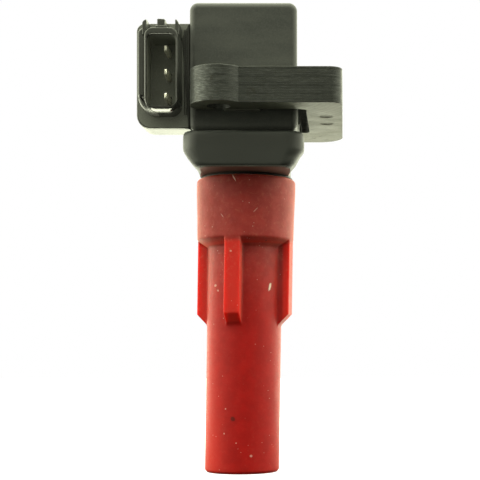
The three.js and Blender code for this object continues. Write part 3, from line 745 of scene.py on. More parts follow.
def make_boot():
    offsets = sorted(set([-o for o in FIN_OFFSETS] + FIN_OFFSETS)) + list(np.linspace(21.6, 68.4, 19))
    degrees = sorted((fin + offset) % 360 for fin in FIN_ANGLES for offset in offsets)
    angles = np.radians(np.array(degrees))
    # finer at the fins' feet and at the foot of the collar
    levels = np.array(
        list(np.arange(1.1, 39.4, 1.3))
        + list(np.arange(39.8, 45.2, 0.25))
        + list(np.arange(45.6, 61.0, 1.1))
        + list(np.arange(61.1, 65.2, 0.22))
        + list(np.arange(65.6, 79.5, 1.0))
    )
    # the outside is found by halving the span between a radius within and one beyond it
    angle_grid, level_grid = np.meshgrid(angles, levels)
    within, beyond = boot_radius(level_grid) - 0.6, np.full_like(level_grid, 15.0)
    for _ in range(30):
        middle = (within + beyond) / 2
        inside = boot_distance(middle, angle_grid, level_grid) < 0
        within, beyond = np.where(inside, middle, within), np.where(inside, beyond, middle)
    wall = (within + beyond) / 2

    shape = Shape()

    def ring(radius, z, shift):
        radii = np.broadcast_to(radius, angles.shape)
        pairs = zip(radii, angles)
        return shape.ring([(r * math.sin(t) + shift, -r * math.cos(t), z) for r, t in pairs])

    rings = []
    for radius, z in reversed(soft_profile(BOOT_MOUTH, 0.15)):
        rings.append(ring(radius, z, boot_lean(z)))
    for radii, z in zip(wall, levels):
        rings.append(ring(radii, z, boot_lean(z)))
    rim = [(COLLAR_RADIUS - 0.02, 79.6)]
    for t in np.linspace(0.1, math.pi / 2, 8):
        rim.append((COLLAR_RADIUS - 1.0 + 0.98 * math.cos(t), 79.7 + 0.9 * math.sin(t)))
    for radius, z in rim:
        rings.append(ring(radius, z, boot_lean(z)))
    for radius, z in soft_profile(BOOT_BORE, 0.3):
        # the upper bore stays upright round the tower
        lean_share = lookup([(50, 1.0), (55, 0.0)], z)
        rings.append(ring(radius, z, boot_lean(z) * lean_share))
    shape.tube(rings)
    shape.bridge(rings[-1], rings[0])
    ob = shape.object("silicone_boot")
    settle(ob, "boot", SILICONE, sharp=60, body=BOOT)


# ------------------------------------------------------------------ tower housing
# sides of the block: height, x or y
BLOCK_LEFT = [
    (81.3, -11.1), (81.42, -11.6), (81.7, -12.2), (82.5, -13.15), (83.4, -13.85),
    (84.2, -14.45), (85.0, -14.95), (85.9, -15.45), (86.6, -15.6), (89.0, -15.6),
]
BLOCK_RIGHT = [
    (81.3, 12.6), (81.42, 12.85), (81.7, 13.2), (82.5, 14.0), (83.4, 14.55),
    (84.2, 14.95), (85.0, 15.45), (85.9, 16.2), (86.5, 16.35), (89.0, 16.35),
]
BLOCK_FRONT = [
    (81.3, -19.15), (81.36, -19.4), (81.55, -19.7), (81.8, -19.9), (82.2, -20.0), (83.0, -20.0),
]
BLOCK_BACK = [(81.3, 15.1), (81.6, 15.4), (82.0, 15.55), (83, 15.6)]
# rounded top edge: height, inset
BLOCK_CROWN = [(89.0, 0.0), (89.9, 0.06), (90.4, 0.18), (90.75, 0.42), (90.93, 0.75), (91.0, 1.15)]
BLOCK_CORNER = [(81.3, 3.3), (84.0, 4.0), (87.0, 4.5)]  # height, front corner radius
# shoulder and tower below the block: radius, height
TOWER_PROFILE = [
    (0, 84.5), (12.5, 84.5), (12.7, 83.0), (12.7, 80.64), (8.6, 80.64), (8.3, 80.4),
    (8.1, 68.0), (7.9, 56.8), (7.1, 56.0), (0, 56.0),
]


def block_plan(z):
    """Outline of the block at a height: wide in front, waisted in to a narrower back."""
    inset = lookup(BLOCK_CROWN, z)
    left, right = lookup(BLOCK_LEFT, z) + inset, lookup(BLOCK_RIGHT, z) - inset
    share = np.clip((z - 81.3) / 4.7, 0, 1)
    back_left, back_right = -12.7 - 0.3 * share + inset, 11.5 + 0.1 * share - inset
    front, back = lookup(BLOCK_FRONT, z) + inset, lookup(BLOCK_BACK, z) - inset
    corner = lookup(BLOCK_CORNER, z) - inset
    back_corner = 3 - inset
    waist_y = np.linspace(-13.5, -2.0, 9)
    waist = [(3 * t * t - 2 * t**3) for t in np.linspace(0, 1, 9)]
    points = arc(left + corner, front + corner, corner, 180, 270, 12)
    points += arc(right - corner, front + corner, corner, 270, 360, 12)
    points += [(right + (back_right - right) * t, y) for y, t in zip(waist_y, waist)]
    points += arc(back_right - back_corner, back - back_corner, back_corner, 0, 90, 7)
    points += arc(back_left + back_corner, back - back_corner, back_corner, 90, 180, 7)
    points += [(back_left + (left - back_left) * t, y) for y, t in zip(waist_y[::-1], waist)]
    return points


def tower_profile():
    """The softened shoulder and tower, narrowed where they run up inside the block."""
    profile = []
    for radius, z in soft_profile(TOWER_PROFILE, 0.2, 3):
        point = (11.2, z) if z > 82.1 and radius > 11.0 else (radius, z)
        if not profile or (Vector(point) - Vector(previous)).length > 1e-4:
            profile.append(point)
        previous = point
    return profile


def make_tower_housing():
    tables = (BLOCK_LEFT, BLOCK_FRONT, BLOCK_BACK, BLOCK_CROWN)
    levels = sorted({z for table in tables for z, _ in table} | {83.5, 84.5})
    ob = loft("tower_block", [at_z(z, block_plan(z)) for z in levels])
    # round shoulder and tower below, one moulding with the block
    combine(ob, [turned("part", tower_profile(), 72)])
    combine(ob, [upright_cylinder("cut", 55, 92, 3.4, 56)], "DIFFERENCE")
    settle(ob, "tower_housing", BLOCK, sharp=40)
    # the shoulder under the block is painted the red of the boot's silicone lip, paler and brighter
    # than the boot as painted light in the shade there; the underside gets a painted reflection of
    # the boot and the front bottom edge a painted highlight
    for material in (SILICONE_LIP_LIT, UNDERSIDE_BOOT_REFLECTION, BLOCK_EDGE_HIGHLIGHT):
        ob.data.materials.append(material)
    low, high = MOUTH_Z + 80.8 * MM, MOUTH_Z + 83.2 * MM
    for face in ob.data.polygons:
        centre, up = face.center, face.normal.z
        on_shoulder = 11.5 * MM < math.hypot(centre.x, centre.y) < 12.9 * MM
        if low < centre.z < high and on_shoulder and up < 0.5 and abs(up) < 0.95:
            face.material_index = 1
        # underside: painted reflection of the red boot
        elif low < centre.z < MOUTH_Z + 81.34 * MM and up < -0.95:
            face.material_index = 2
        # front bottom edge: painted highlight
        elif low < centre.z < MOUTH_Z + 81.75 * MM and centre.y < -18.9 * MM:
            face.material_index = 3


# ------------------------------------------------------------------ winding case
def case_section(y, inset):
    """Section of the case in X and Z; above a step in each side it narrows towards the back."""
    front, back = CASE_Y
    draft = 1.4 * np.clip((y - front - 2) / (back - front - 2), 0, 1)
    corner = max(2.2 - inset, 0.25)
    left, right = grow(CASE_X, -inset)
    bottom, top = grow(CASE_Z, -inset)
    points = arc(left + corner, bottom + corner, corner, 180, 270, 8)
    points += arc(right - corner, bottom + corner, corner, 270, 360, 8)
    points += [(right, 100.0), (right, 106.9), (right - draft, 107.25), (right - draft, 115.0)]
    points += arc(right - draft - corner, top - corner, corner, 0, 90, 8)
    points += arc(left + draft + corner, top - corner, corner, 90, 180, 8)
    points += [(left + draft, 115.0), (left + draft, 107.25), (left, 106.9), (left, 100.0)]
    return points


def make_case():
    front, back = CASE_Y
    stations = [(front + run, inset) for run, inset in fillet(1.7, 8)]
    stations += [(y, 0) for y in (-11, -6, -1, 4, 9, 14)]
    stations += [(back - run, inset) for run, inset in reversed(fillet(0.35, 3))]
    shape = Shape()
    outside = [shape.ring(at_y(y, case_section(y, inset))) for y, inset in stations]
    shape.tube(outside)
    shape.cap(outside[0])
    # cavity, open at the back: y, growth of its section
    cavity = []
    for y, growth in ((back, 0.3), (back - 0.3, 0), (0, 0), (-14.2, 0), (-14.5, -0.3)):
        section = rounded(grow(CAVITY_X, growth), grow(CAVITY_Z, growth), 1.0, 6)
        cavity.append(shape.ring(at_y(y, section)))
    shape.tube(cavity)
    shape.cap(outside[-1], cavity[0])
    shape.cap(cavity[-1])
    ob = shape.object("winding_case")
    # slot for the core bar, the high-voltage terminal's passage and the connector window
    cutters = [
        block("cut", BAR_SLOT_X, (-17, -13.5), BAR_SLOT_Z, 0.3, front=0.05, back=0.05, steps=3),
        upright_cylinder("cut", 90, 94, 2.6, 40),
        block(
            "cut",
            (-15.5, -10.0),
            (WINDOW_FRONT_Y, -1.4),
            WINDOW_Z,
            0.3,
            front=0.05,
            back=0.05,
            steps=3,
        ),
    ]
    combine(ob, cutters, "DIFFERENCE")
    # crush ribs that steady the core's leg, low on the right side
    ribs = []
    for y in (6.0, -6.0):
        depth = (y - 0.35, y + 0.35)
        rib = block("rib", (14.1, 15.0), depth, (95.0, 106.0), 0.25, front=0.2, back=0.2, steps=3)
        ribs.append(rib)
    combine(ob, ribs)
    settle(ob, "upper_housing", CASE)


# y, inset: the edge creeps up the cavity's wall and the surface dips towards the middle
RESIN_STATIONS = (
    (13.3, 0.0), (15.1, 0.0), (15.02, 0.12), (14.86, 0.4), (14.74, 0.9), (14.68, 1.7), (14.66, 3.0),
)
RESIN_GAP = 0.3  # to the cavity's wall


def make_resin():
    shape = Shape()
    outside = []
    for y, inset in RESIN_STATIONS:
        across = grow(CAVITY_X, -(RESIN_GAP + inset))
        upward = grow(CAVITY_Z, -(RESIN_GAP + inset))
        corner = max(0.8 - inset * 0.1, 0.3) + inset * 0.5
        outside.append(shape.ring(at_y(y, rounded(across, upward, corner, 6))))
    slot = rounded(BAR_SLOT_X, BAR_SLOT_Z, 0.3, 3)
    hole = [shape.ring(at_y(RESIN_STATIONS[end][0], slot)) for end in (0, -1)]
    shape.tube(outside)
    shape.tube(hole)
    shape.cap(outside[0], hole[0])
    shape.cap(outside[-1], hole[1])
    ob = shape.object("potting_resin_fill")
    settle(ob, "potting_resin", RESIN, sharp=50)


# ------------------------------------------------------------------ laminated core
CORE_FRONT, CORE_BACK = -25.0, 31.0
CORE_WINDOW = (-16.4, 16.0)  # y of the gap that holds the case
LEG_INNER, LEG_OUTER = 16.9, 26.5  # x of the leg's sides
LUG_X, LUG_Y, LUG_RADIUS, LUG_HOLE_RADIUS = -5.7, -20.0, 7.5, 3.0
CORE_BOTTOM, CORE_TOP, SHEETS = 97.0, 106.3, 22
SHEET_GROOVE = 0.06 * 0.6  # height of the groove on each side of a joint
# distance from the end face, inset
CORE_END_EDGE = ((0.0, 0.10), (0.04, 0.03), (0.11, 0.0))
# shallow dents that lock the sheets together: x, y, half width, half length, depth
DENTS = (
    (22.1, -7.2, 1.9, 1.9, 0.3),
    (22.1, 2.6, 1.9, 1.9, 0.3),
    (17.9, 23.9, 0.8, 1.1, 0.12),
    (5.5, -20.8, 1.8, 0.55, 0.12),
    (-2.2, 23.4, 1.8, 0.55, 0.12),
)


def core_outline():
    """C-shaped plan, open to the left, with a round lug at its front left end."""
    window_front, window_back = CORE_WINDOW
    lug_front = math.degrees(math.asin((LUG_Y - CORE_FRONT) / LUG_RADIUS))
    lug_back = math.degrees(math.asin((window_front - LUG_Y) / LUG_RADIUS))
    lug_end_x = LUG_X + LUG_RADIUS * math.cos(math.radians(lug_front))
    points = [(lug_end_x, CORE_FRONT), (8, CORE_FRONT), (15, CORE_FRONT)]
    points += arc(LEG_OUTER - 3.3, CORE_FRONT + 3.3, 3.3, 270, 360, 14)
    points += [(LEG_OUTER, -8), (LEG_OUTER, 8)]
    points += arc(LEG_OUTER - 7.4, CORE_BACK - 7.4, 7.4, 0, 90, 20)
    points += [(8, CORE_BACK)]
    points += arc(-1.4, CORE_BACK - 0.8, 0.8, 90, 131, 4)
    points += arc(-8.4, 23.2, 0.6, 138, 180, 4)
    points += [(-9.0, window_back + 0.5), (-8.6, window_back), (4, window_back)]
    points += arc(LEG_INNER - 1.5, window_back - 1.5, 1.5, 90, 0, 8)
    points += [(LEG_INNER, 0)]
    points += arc(LEG_INNER - 1.5, window_front + 1.5, 1.5, 0, -90, 8)
    points += [(4, window_front)]
    points += arc(LUG_X, LUG_Y, LUG_RADIUS, 180 - lug_back, 360 - lug_front, 40)[:-1]
    return points


def dent(x, y, half_width, half_length, depth, level, inward):
    sections = []
    for sink, spread in ((-1.0, 1.30), (0.0, 1.10), (depth * 0.55, 0.94), (depth, 0.70)):
        outline = oval(half_width * spread, half_length * spread, 36, x, y)
        sections.append(at_z(level + inward * sink, outline))
    return loft("cut", sections)


def make_core():
    rng = random.Random(7)
    outline = core_outline()
    thickness = (CORE_TOP - CORE_BOTTOM) / SHEETS
    shape = Shape()
    stack = []

    def add_level(z, inset, shift=(0.0, 0.0)):
        """One level of the stack: the outer loop and the lug's hole."""
        shift_x, shift_y = shift
        outer = [(x + shift_x, y + shift_y) for x, y in inset_loop(outline, inset)]
        radius = LUG_HOLE_RADIUS + inset
        hole = oval(radius, radius, 48, LUG_X + shift_x, LUG_Y + shift_y)
        stack.append([shape.ring(at_z(z, outer)), shape.ring(at_z(z, hole))])

    for k in range(SHEETS):
        bottom = CORE_BOTTOM + k * thickness
        shift = (rng.uniform(-0.025, 0.025), rng.uniform(-0.03, 0.03))
        if k == 0:
            for rise, inset in CORE_END_EDGE:
                add_level(bottom + rise, inset, shift)
        else:
            add_level(bottom, 0.10)
            add_level(bottom + SHEET_GROOVE, 0.02 if k % 5 else 0.05, shift)
        if k == SHEETS - 1:
            for drop, inset in reversed(CORE_END_EDGE):
                add_level(bottom + thickness - drop, inset, shift)
        else:
            add_level(bottom + thickness - SHEET_GROOVE, 0.02, shift)
    for rings in zip(*stack):
        shape.tube(rings)
    shape.cap(*stack[0])
    shape.cap(*stack[-1])
    ob = shape.object("core_stack")

    ends = ((CORE_BOTTOM, 1), (CORE_TOP, -1))
    dents = [dent(*sizes, level, inward) for level, inward in ends for sizes in DENTS]
    combine(ob, dents, "DIFFERENCE")
    settle(ob, "core_frame", CORE, sharp=32)


# ------------------------------------------------------------------ connector
# terminal, height, y of its bend
PINS = [
    ("terminal_power", 112.7, -8.0),
    ("terminal_ground", 106.45, -5.4),
    ("terminal_signal", 100.2, -2.8),
]
# guide ribs on top with slanted noses, the last one the lock's ramp:
# x span, front y, top, drop of the left edge, drop of the right edge
TOP_RIBS = (
    ((-25.5, -24.42), -21.0, 119.65, 0.7, 0.0),
    ((-16.95, -15.95), -21.0, 119.65, 0.0, 1.2),
    ((-21.55, -19.6), -21.4, 119.7, 0.0, 0.12),
)
# socket opening from the mouth inwards: y, growth, extra width to the left
SOCKET_STATIONS = (
    (-23.0, 0.5, 0), (-22.02, 0.42, 0), (-21.9, 0.2, 0), (-21.6, 0.04, 0), (-21.2, 0.0, 0),
    (-11.7, 0.0, 0.7), (-11.5, -0.2, 0.7),
)


def shroud(across, top, corners, front):
    """Outer wall of the socket: a fine edge round the mouth, a broad round along the bottom."""
    stations = []
    for k in range(11):
        angle = k / 10 * math.pi / 2
        y = front + 1.9 * (1 - math.cos(angle))
        lift = 1.35 * (1 - math.sin(angle))
        edge = 0.32 * max(0.0, 1 - math.sin(min(angle * 3, math.pi / 2)))
        stations.append((y, lift, edge))
    stations.append((-13.6, 0.0, 0.0))
    sections = []
    for y, lift, edge in stations:
        radii = [
            corners[0] - 0.7 * lift,
            max(corners[1] - 0.7 * lift, 0.06),
            max(corners[2] - edge, 0.06),
            max(corners[3] - edge, 0.06),
        ]
        width = (across[0] + 0.45 * lift + edge * 0.4, across[1] - edge - 0.25 * lift)
        sections.append(at_y(y, rounded(width, (95.3 + lift, top - edge), radii, 12)))
    return loft("part", sections)


def top_rib(across, tip, rib_top, left_drop, right_drop):
    base = 115.6
    sections = []
    nose = ((tip, 0.5, 0.15), (tip + 0.15, 0.2, 0.0), (tip + 0.8, 0.0, 0.0), (-13.8, 0.0, 0.0))
    for y, drop, inset in nose:
        top = rib_top - drop
        left, right = grow(across, -inset)
        outline = [
            (left, base),
            (right, base),
            (right, top - right_drop - 0.12),
            (right - 0.25, top - right_drop * 0.55),
            (left + 0.25, top - left_drop * 0.55),
            (left, top - left_drop - 0.12),
        ]
        sections.append(at_y(y, outline))
    return loft("part", sections)


def socket_opening():
    sections = []
    for y, growth, extra in SOCKET_STATIONS:
        across = (-24.2 - growth - extra, -16.8 + growth)
        upward = (96.85 - 0.25 * growth, 115.3 + growth)
        sections.append(at_y(y, rounded(across, upward, 1.4 + growth * 0.5, 8)))
    return loft("cut", sections)


def make_connector():
    ob = block(
        "connector_body",
        (-28.1, -13.93),
        (-14.6, -6.0),
        (92.2, 120.2),
        [3.7, 0.06, 0.06, 2.2],
        front=0.45,
        back=0.3,
        steps=9,
    )
    # neck behind the flange, the two shrouds and the wall on the left
    neck = block(
        "part",
        (-25.4, -14.27),
        (-7.0, -0.6),
        (94.6, 118.0),
        [2.5, 0.05, 0.05, 1.6],
        front=0.2,
        back=0.5,
        steps=7,
    )
    main_shroud = shroud((-25.1, -16.0), top=117.1, corners=[3.4, 2.9, 2.1, 2.1], front=-22.0)
    low_shroud = shroud((-26.7, -19.0), top=99.3, corners=[4.3, 0.1, 0.1, 0.35], front=-21.3)
    left_wall = block(
        "part",
        (-26.8, -24.8),
        (-20.6, -13.6),
        (99.4, 117.4),
        [0.5, 0.1, 0.1, 1.6],
        front=0.6,
        back=0.05,
        steps=6,
    )
    parts = [neck, main_shroud, low_shroud, left_wall]
    parts += [top_rib(*sizes) for sizes in TOP_RIBS]
    # foot of the lock's ramp
    foot_spans = (-22.1, -19.0), (-21.7, -13.8), (116.0, 117.75)
    parts.append(block("part", *foot_spans, 0.3, front=0.3, back=0.05, steps=3))
    # moulded flutes beside the shroud
    for x in (-15.3, -14.75):
        spans = (x - 0.14, x + 0.14), (-15.0, -14.2), (96.0, 118.4)
        parts.append(block("part", *spans, 0.1, front=0.1, back=0.05, steps=3))
    combine(ob, parts)

    window_spans = (-21.6, -13.0), (WINDOW_FRONT_Y, -1.6), WINDOW_Z
    cutters = [
        socket_opening(),
        block("cut", *window_spans, 0.3, front=0.05, back=0.05, steps=3),
    ]
    for _, z, _ in PINS:
        spans = (-20.4, -19.2), (-12.5, -9.0), (z - 1.15, z + 1.15)
        cutters.append(block("cut", *spans, 0.15, front=0.02, back=0.02, steps=3))
    combine(ob, cutters, "DIFFERENCE")
    settle(ob, "connector_housing", SOCKET)
    # the round under the socket is polished where the mould was ground
    ob.data.materials.append(POLISHED)
    ob.data.materials.append(SOCKET_INSIDE_LIT)
    for face in ob.data.polygons:
        x, y, z = face.center
        normal = face.normal
        low_front = z < MOUTH_Z + 99.2 * MM and y < -14.7 * MM
        if low_front and normal.z < -0.05 and normal.y > -0.985:
            face.material_index = 1
        # faces inside the socket get the paler plastic: painted light in the cavity
        in_socket = -20.6 * MM < y < -11.0 * MM and -24.95 * MM < x < -16.75 * MM
        if in_socket and 96.7 < (z - MOUTH_Z) / MM < 115.5:
            face.material_index = 2


def make_terminal(name, pin_z, bend_y):
    """Blade from the socket, bent to the right behind it, then up and on into the case."""
    blade_x, half_thick, half_wide = -19.8, 0.4, 0.95
    riser_x, riser_top = (-10.6, -9.9), 114.2
    # y, half thickness, half width
    stations = (
        (-18.4, 0.28, 0.58),
        (-18.3, 0.36, 0.70),
        (-17.5, half_thick, half_wide - 0.08),
        (-17.2, half_thick, half_wide),
        (bend_y + half_thick, half_thick, half_wide),
    )
    sections = []
    for y, thick, wide in stations:
        across, upward = (blade_x - thick, blade_x + thick), (pin_z - wide, pin_z + wide)
        sections.append(at_y(y, rounded(across, upward, min(0.12, thick * 0.6), 3)))
    ob = loft(name + "_blade", sections)
    depth = (bend_y - half_thick, bend_y + half_thick)
    bottom = pin_z - half_wide
    parts = []
    for across, upward in (
        ((blade_x - half_thick, riser_x[1]), (bottom, pin_z + half_wide)),
        (riser_x, (bottom, riser_top)),
        ((riser_x[0], -8.0), (113.2, riser_top)),
    ):
        parts.append(block("part", across, depth, upward, 0.1, front=0.1, back=0.1, steps=3))
    combine(ob, parts)
    settle(ob, name, TINNED)


# ------------------------------------------------------------------ spring and plug contact
SPRING_BOTTOM, SPRING_TOP, SPRING_TRAVEL = 33.6, 61.2, 5.0
SPRING_TURNS, SPRING_RADIUS, SPRING_WIRE = 11.0, 2.6, 0.4  # radius of the coil and of its wire
# radius, height
PLUG_CONTACT_PROFILE = [
    (0, 28.0), (1.2, 28.0), (2.9, 28.0), (3.6, 28.7), (3.6, 29.6), (3.3, 29.9), (3.3, 30.3),
    (3.6, 30.6), (3.6, 31.6), (3.2, 32.4), (1.8, 32.4), (1.8, 33.6), (1.65, 33.8), (1.65, 35.0),
    (1.8, 35.2), (1.8, 36.0), (1.3, 36.6), (0, 36.6),
]


def spring_centre(t):
    """Middle of the wire at share t of its length; the end coils are closed."""
    end_turn = 1.0 / SPRING_TURNS
    low = SPRING_BOTTOM + SPRING_WIRE
    height = SPRING_TOP - SPRING_WIRE - low
    end_rise = 0.85 * SPRING_WIRE * 2 * 0.98
    rises = [(0, 0), (end_turn, end_rise), (1 - end_turn, height - end_rise), (1, height)]
    angle = 2 * math.pi * SPRING_TURNS * t
    x, y = SPRING_RADIUS * math.cos(angle), SPRING_RADIUS * math.sin(angle)
    return Vector((x, y, low + lookup(rises, t)))


def make_spring():
    """Round-wire compression spring, its end coils closed and flat."""
    steps = int(SPRING_TURNS * 40)
    sections = []
    for k in range(steps + 1):
        t = k / steps
        centre = spring_centre(t)
        along = spring_centre(min(1, t + 1e-3)) - spring_centre(max(0, t - 1e-3))
        along = along.normalized()
        outward = Vector((centre.x, centre.y, 0)).normalized()
        up = along.cross(outward).normalized()
        outward = up.cross(along).normalized()
        wire = SPRING_WIRE * min(1.0, 0.72 + 0.28 * min(k, steps - k) / 3)
        sections.append(
            [centre + outward * wire * math.cos(a) + up * wire * math.sin(a) for a in around(14)]
        )
    ob = loft("contact_spring_coil", sections)
    settle(ob, "contact_spring", SPRING, sharp=50)
    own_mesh(ob)


def make_plug_contact():
    ob = turned("plug_contact_cup", soft_profile(PLUG_CONTACT_PROFILE, 0.14, 3), 72)
    settle(ob, "plug_contact", PLUG, sharp=34, body=CONTACT)


# ------------------------------------------------------------------ pieces inside the case
def sleeve_section(y, half_x, half_z, corner):
    upward = (COIL_AXIS_Z - half_z, COIL_AXIS_Z + half_z)
    return at_y(y, rounded((-half_x, half_x), upward, corner, 6))


def wound(name, stations, bore):
    """A wound sleeve: (y, half x, half z, radius) stations over a bore (half x, half z, radius)."""
    shape = Shape()
    sections = list(stations)
    sections += [(stations[-1][0], *bore), (stations[0][0], *bore)]
    rings = [shape.ring(sleeve_section(*section)) for section in sections]
    shape.tube(rings)
    shape.bridge(rings[-1], rings[0])
    return shape.object(name)


def make_primary():
    front, back, turns = COIL_FRONT + 1.1, COIL_BACK - 1.1, 42
    pitch = (back - front) / turns
    stations = []
    for k in range(turns):
        for t in (0.02, 0.2, 0.5, 0.8):
            rise = math.sqrt(max(0, 1 - (2 * t - 1) ** 2)) * pitch / 2
            y = front + (k + t) * pitch
            stations.append((y, 6.7 - pitch / 2 + rise, 6.3 - pitch / 2 + rise, 1.0))
    ob = wound("primary_turns", stations, (5.7, 5.55, 0.7))
    settle(ob, "primary_winding", COPPER, sharp=80)


def make_secondary():
    """Five wound chambers between the bobbin's walls, and a link along their top."""
    wall, chambers, turns = 0.6, 5, 20
    chamber_pitch = (COIL_BACK - COIL_FRONT - wall) / chambers
    pieces = []
    for i in range(chambers):
        front = COIL_FRONT + wall + i * chamber_pitch + 0.25
        back = front + chamber_pitch - wall - 0.5
        pitch = (back - front) / turns
        stations = [(front, 7.9, 7.5, 1.3)]
        for k in range(turns):
            for t in (0.1, 0.5, 0.9):
                rise = math.sqrt(1 - (2 * t - 1) ** 2) * 0.07
                crown = 0.12 * (1 - ((k + t) / turns * 2 - 1) ** 2)
                y = front + (k + t) * pitch
                stations.append((y, 8.8 + rise + crown, 8.0 + rise + crown, 1.5))
        stations.append((back, 7.9, 7.5, 1.3))
        pieces.append(wound("part" if i else "secondary_turns", stations, (7.8, 7.4, 1.2)))
    link_y = (COIL_FRONT + wall + 1, COIL_BACK - wall - 1)
    link_z = (COIL_AXIS_Z + 7.6, COIL_AXIS_Z + 8.1)
    link = block("part", (-0.5, 0.5), link_y, link_z, 0.2, front=0.1, back=0.1, steps=3)
    ob = pieces[0]
    combine(ob, pieces[1:] + [link])
    settle(ob, "secondary_winding", FINE_COPPER, sharp=60)


# CAD nodes whose shape is right: node, material, width of the rounded edges, segments
DRESSED = (
    ("core_bar", BARE_CORE, 0.12, 2),
    ("core_magnet", MAGNET, 0.12, 2),
    ("primary_bobbin", DARK_BOBBIN, 0.1, 2),
    ("secondary_bobbin", LIGHT_BOBBIN, 0.1, 2),
    ("igniter_module", ELECTRONICS, 0.25, 3),
    ("igniter_heat_spreader", COPPER, 0.12, 2),
    ("noise_capacitor", CAPACITOR, 0.35, 3),
)


def dress(name, material, width, segments):
    ob = frame["nodes"][name]
    ob.data.materials.clear()
    ob.data.materials.append(material)
    ob.data.shade_smooth()
    weld = ob.modifiers.new("weld", "WELD")
    weld.merge_threshold = 0.002 * MM
    bevel = ob.modifiers.new("edges", "BEVEL")
    bevel.width = width * MM
    bevel.segments = segments
    bevel.limit_method = "ANGLE"
    bevel.angle_limit = math.radians(35)
    bevel.use_clamp_overlap = True
    bevel.harden_normals = False
    weight_normals(ob, keep_sharp=False)


LEAD_RADIUS = 0.3
# y, height
LEAD_PATH = [(-13.9, 107.2), (-13.9, 110.5), (-13.6, 113.0), (-12.0, 114.4), (-10.0, 114.4)]


def make_lead(name, lead_x):
    """Wire that rises behind the case's front wall and bends back."""
    path = soft_profile(LEAD_PATH, 1.0, 5)
    sections = []
    for k, (y, z) in enumerate(path):
        before, after = Vector(path[max(k - 1, 0)]), Vector(path[min(k + 1, len(path) - 1)])
        along = (after - before).normalized()
        section = []
        for side, lift in oval(LEAD_RADIUS, LEAD_RADIUS, 12):
            section.append((lead_x + side, y - along.y * lift, z + along.x * lift))
        sections.append(section)
    settle(loft(name + "_wire", sections), name, COPPER, sharp=50)


# turned profiles: radius, and distance along the axis
DIODE_PROFILE = [
    (0, 0.2), (0.35, 0.2), (0.35, 1.4), (0.9, 1.42), (1.3, 1.8), (1.3, 8.2), (0.9, 8.58),
    (0.35, 8.6), (0.35, 11.6), (0, 11.6),
]
STUD_PROFILE = [
    (0, 76.2), (2.4, 76.2), (2.8, 76.6), (2.8, 77.2), (2.5, 77.6), (1.6, 78.2), (1.6, 85.0),
    (1.6, 92.0), (1.2, 92.4), (0, 92.4),
]
RESISTOR_PROFILE = [
    (0, 62.2), (2.5, 62.2), (2.7, 62.4), (2.7, 64.3), (2.4, 64.6), (2.4, 73.4), (2.7, 73.7),
    (2.7, 75.6), (2.5, 75.8), (0, 75.8),
]


def make_diode():
    """Axial diode lying along Y: a moulded barrel between two leads."""
    ob = turned("hv_diode_barrel", soft_profile(DIODE_PROFILE, 0.12, 3), 40)
    lying = Matrix.Rotation(-math.pi / 2, 4, "X")
    ob.data.transform(Matrix.Translation((5.6, 0, 113.6)) @ lying)
    settle(ob, "hv_diode", ELECTRONICS, sharp=40)


def make_stud():
    ob = turned("hv_terminal_stud", soft_profile(STUD_PROFILE, 0.12, 3), 48)
    settle(ob, "hv_terminal", BRASS, sharp=40)


def make_resistor():
    ob = turned("noise_resistor_rod", soft_profile(RESISTOR_PROFILE, 0.12, 3), 48)
    settle(ob, "noise_resistor", CERAMIC, sharp=40)


# ------------------------------------------------------------------ floor, light and camera
LIGHT_TINT = (0.97, 1.0, 0.76, 1)
# glow of the floor, unseen by the camera: near, to the left, and far behind
FLOOR_NEAR, FLOOR_LEFT, FLOOR_FAR = 0.06, 0.12, 4.5
# strength of the world's light by direction
BACK_LIGHT, LEFT_LIGHT, RIGHT_LIGHT = 3.8, 2.7, 2.6
FRONT_HIGH, FRONT_LOW, TOP_LIGHT = 0.55, 0.12, 1.2


def floor_material():
    """Pale to the camera; to other rays, a glow that grows towards the back."""
    material = bpy.data.materials.new("studio_floor")
    f = Nodes(material)
    diffuse = f.node("ShaderNodeBsdfDiffuse", {0: (0.35, 0.35, 0.35, 1)}).outputs[0]
    pale = f.node("ShaderNodeEmission", {"Strength": 0.93}).outputs[0]
    seen = f.node("ShaderNodeAddShader", {0: diffuse, 1: pale}).outputs[0]
    position = f.node("ShaderNodeNewGeometry").outputs["Position"]
    place = f.node("ShaderNodeSeparateXYZ", {0: position}).outputs
    near = f.ramp(place["X"], (-0.045, -0.018), to=(FLOOR_LEFT, FLOOR_NEAR))
    strength = f.ramp(place["Y"], (0.03, 0.20), to=(near, FLOOR_FAR))
    glow = f.node("ShaderNodeEmission", {"Color": LIGHT_TINT, "Strength": strength}).outputs[0]
    to_camera = f.node("ShaderNodeLightPath").outputs["Is Camera Ray"]
    chosen = f.node("ShaderNodeMixShader", {0: to_camera, 1: glow, 2: seen}).outputs[0]
    f.node("ShaderNodeOutputMaterial", {0: chosen})
    return material


def make_floor():
    shape = Shape()
    rings = [shape.ring(at_z(-0.05, oval(radius, radius, 64))) for radius in (60, 300, 1500)]
    shape.tube(rings)
    shape.cap(rings[0])
    ob = shape.object("studio_floor")
    ob.data.transform(TO_FRAME)
    ob.data.materials.append(floor_material())


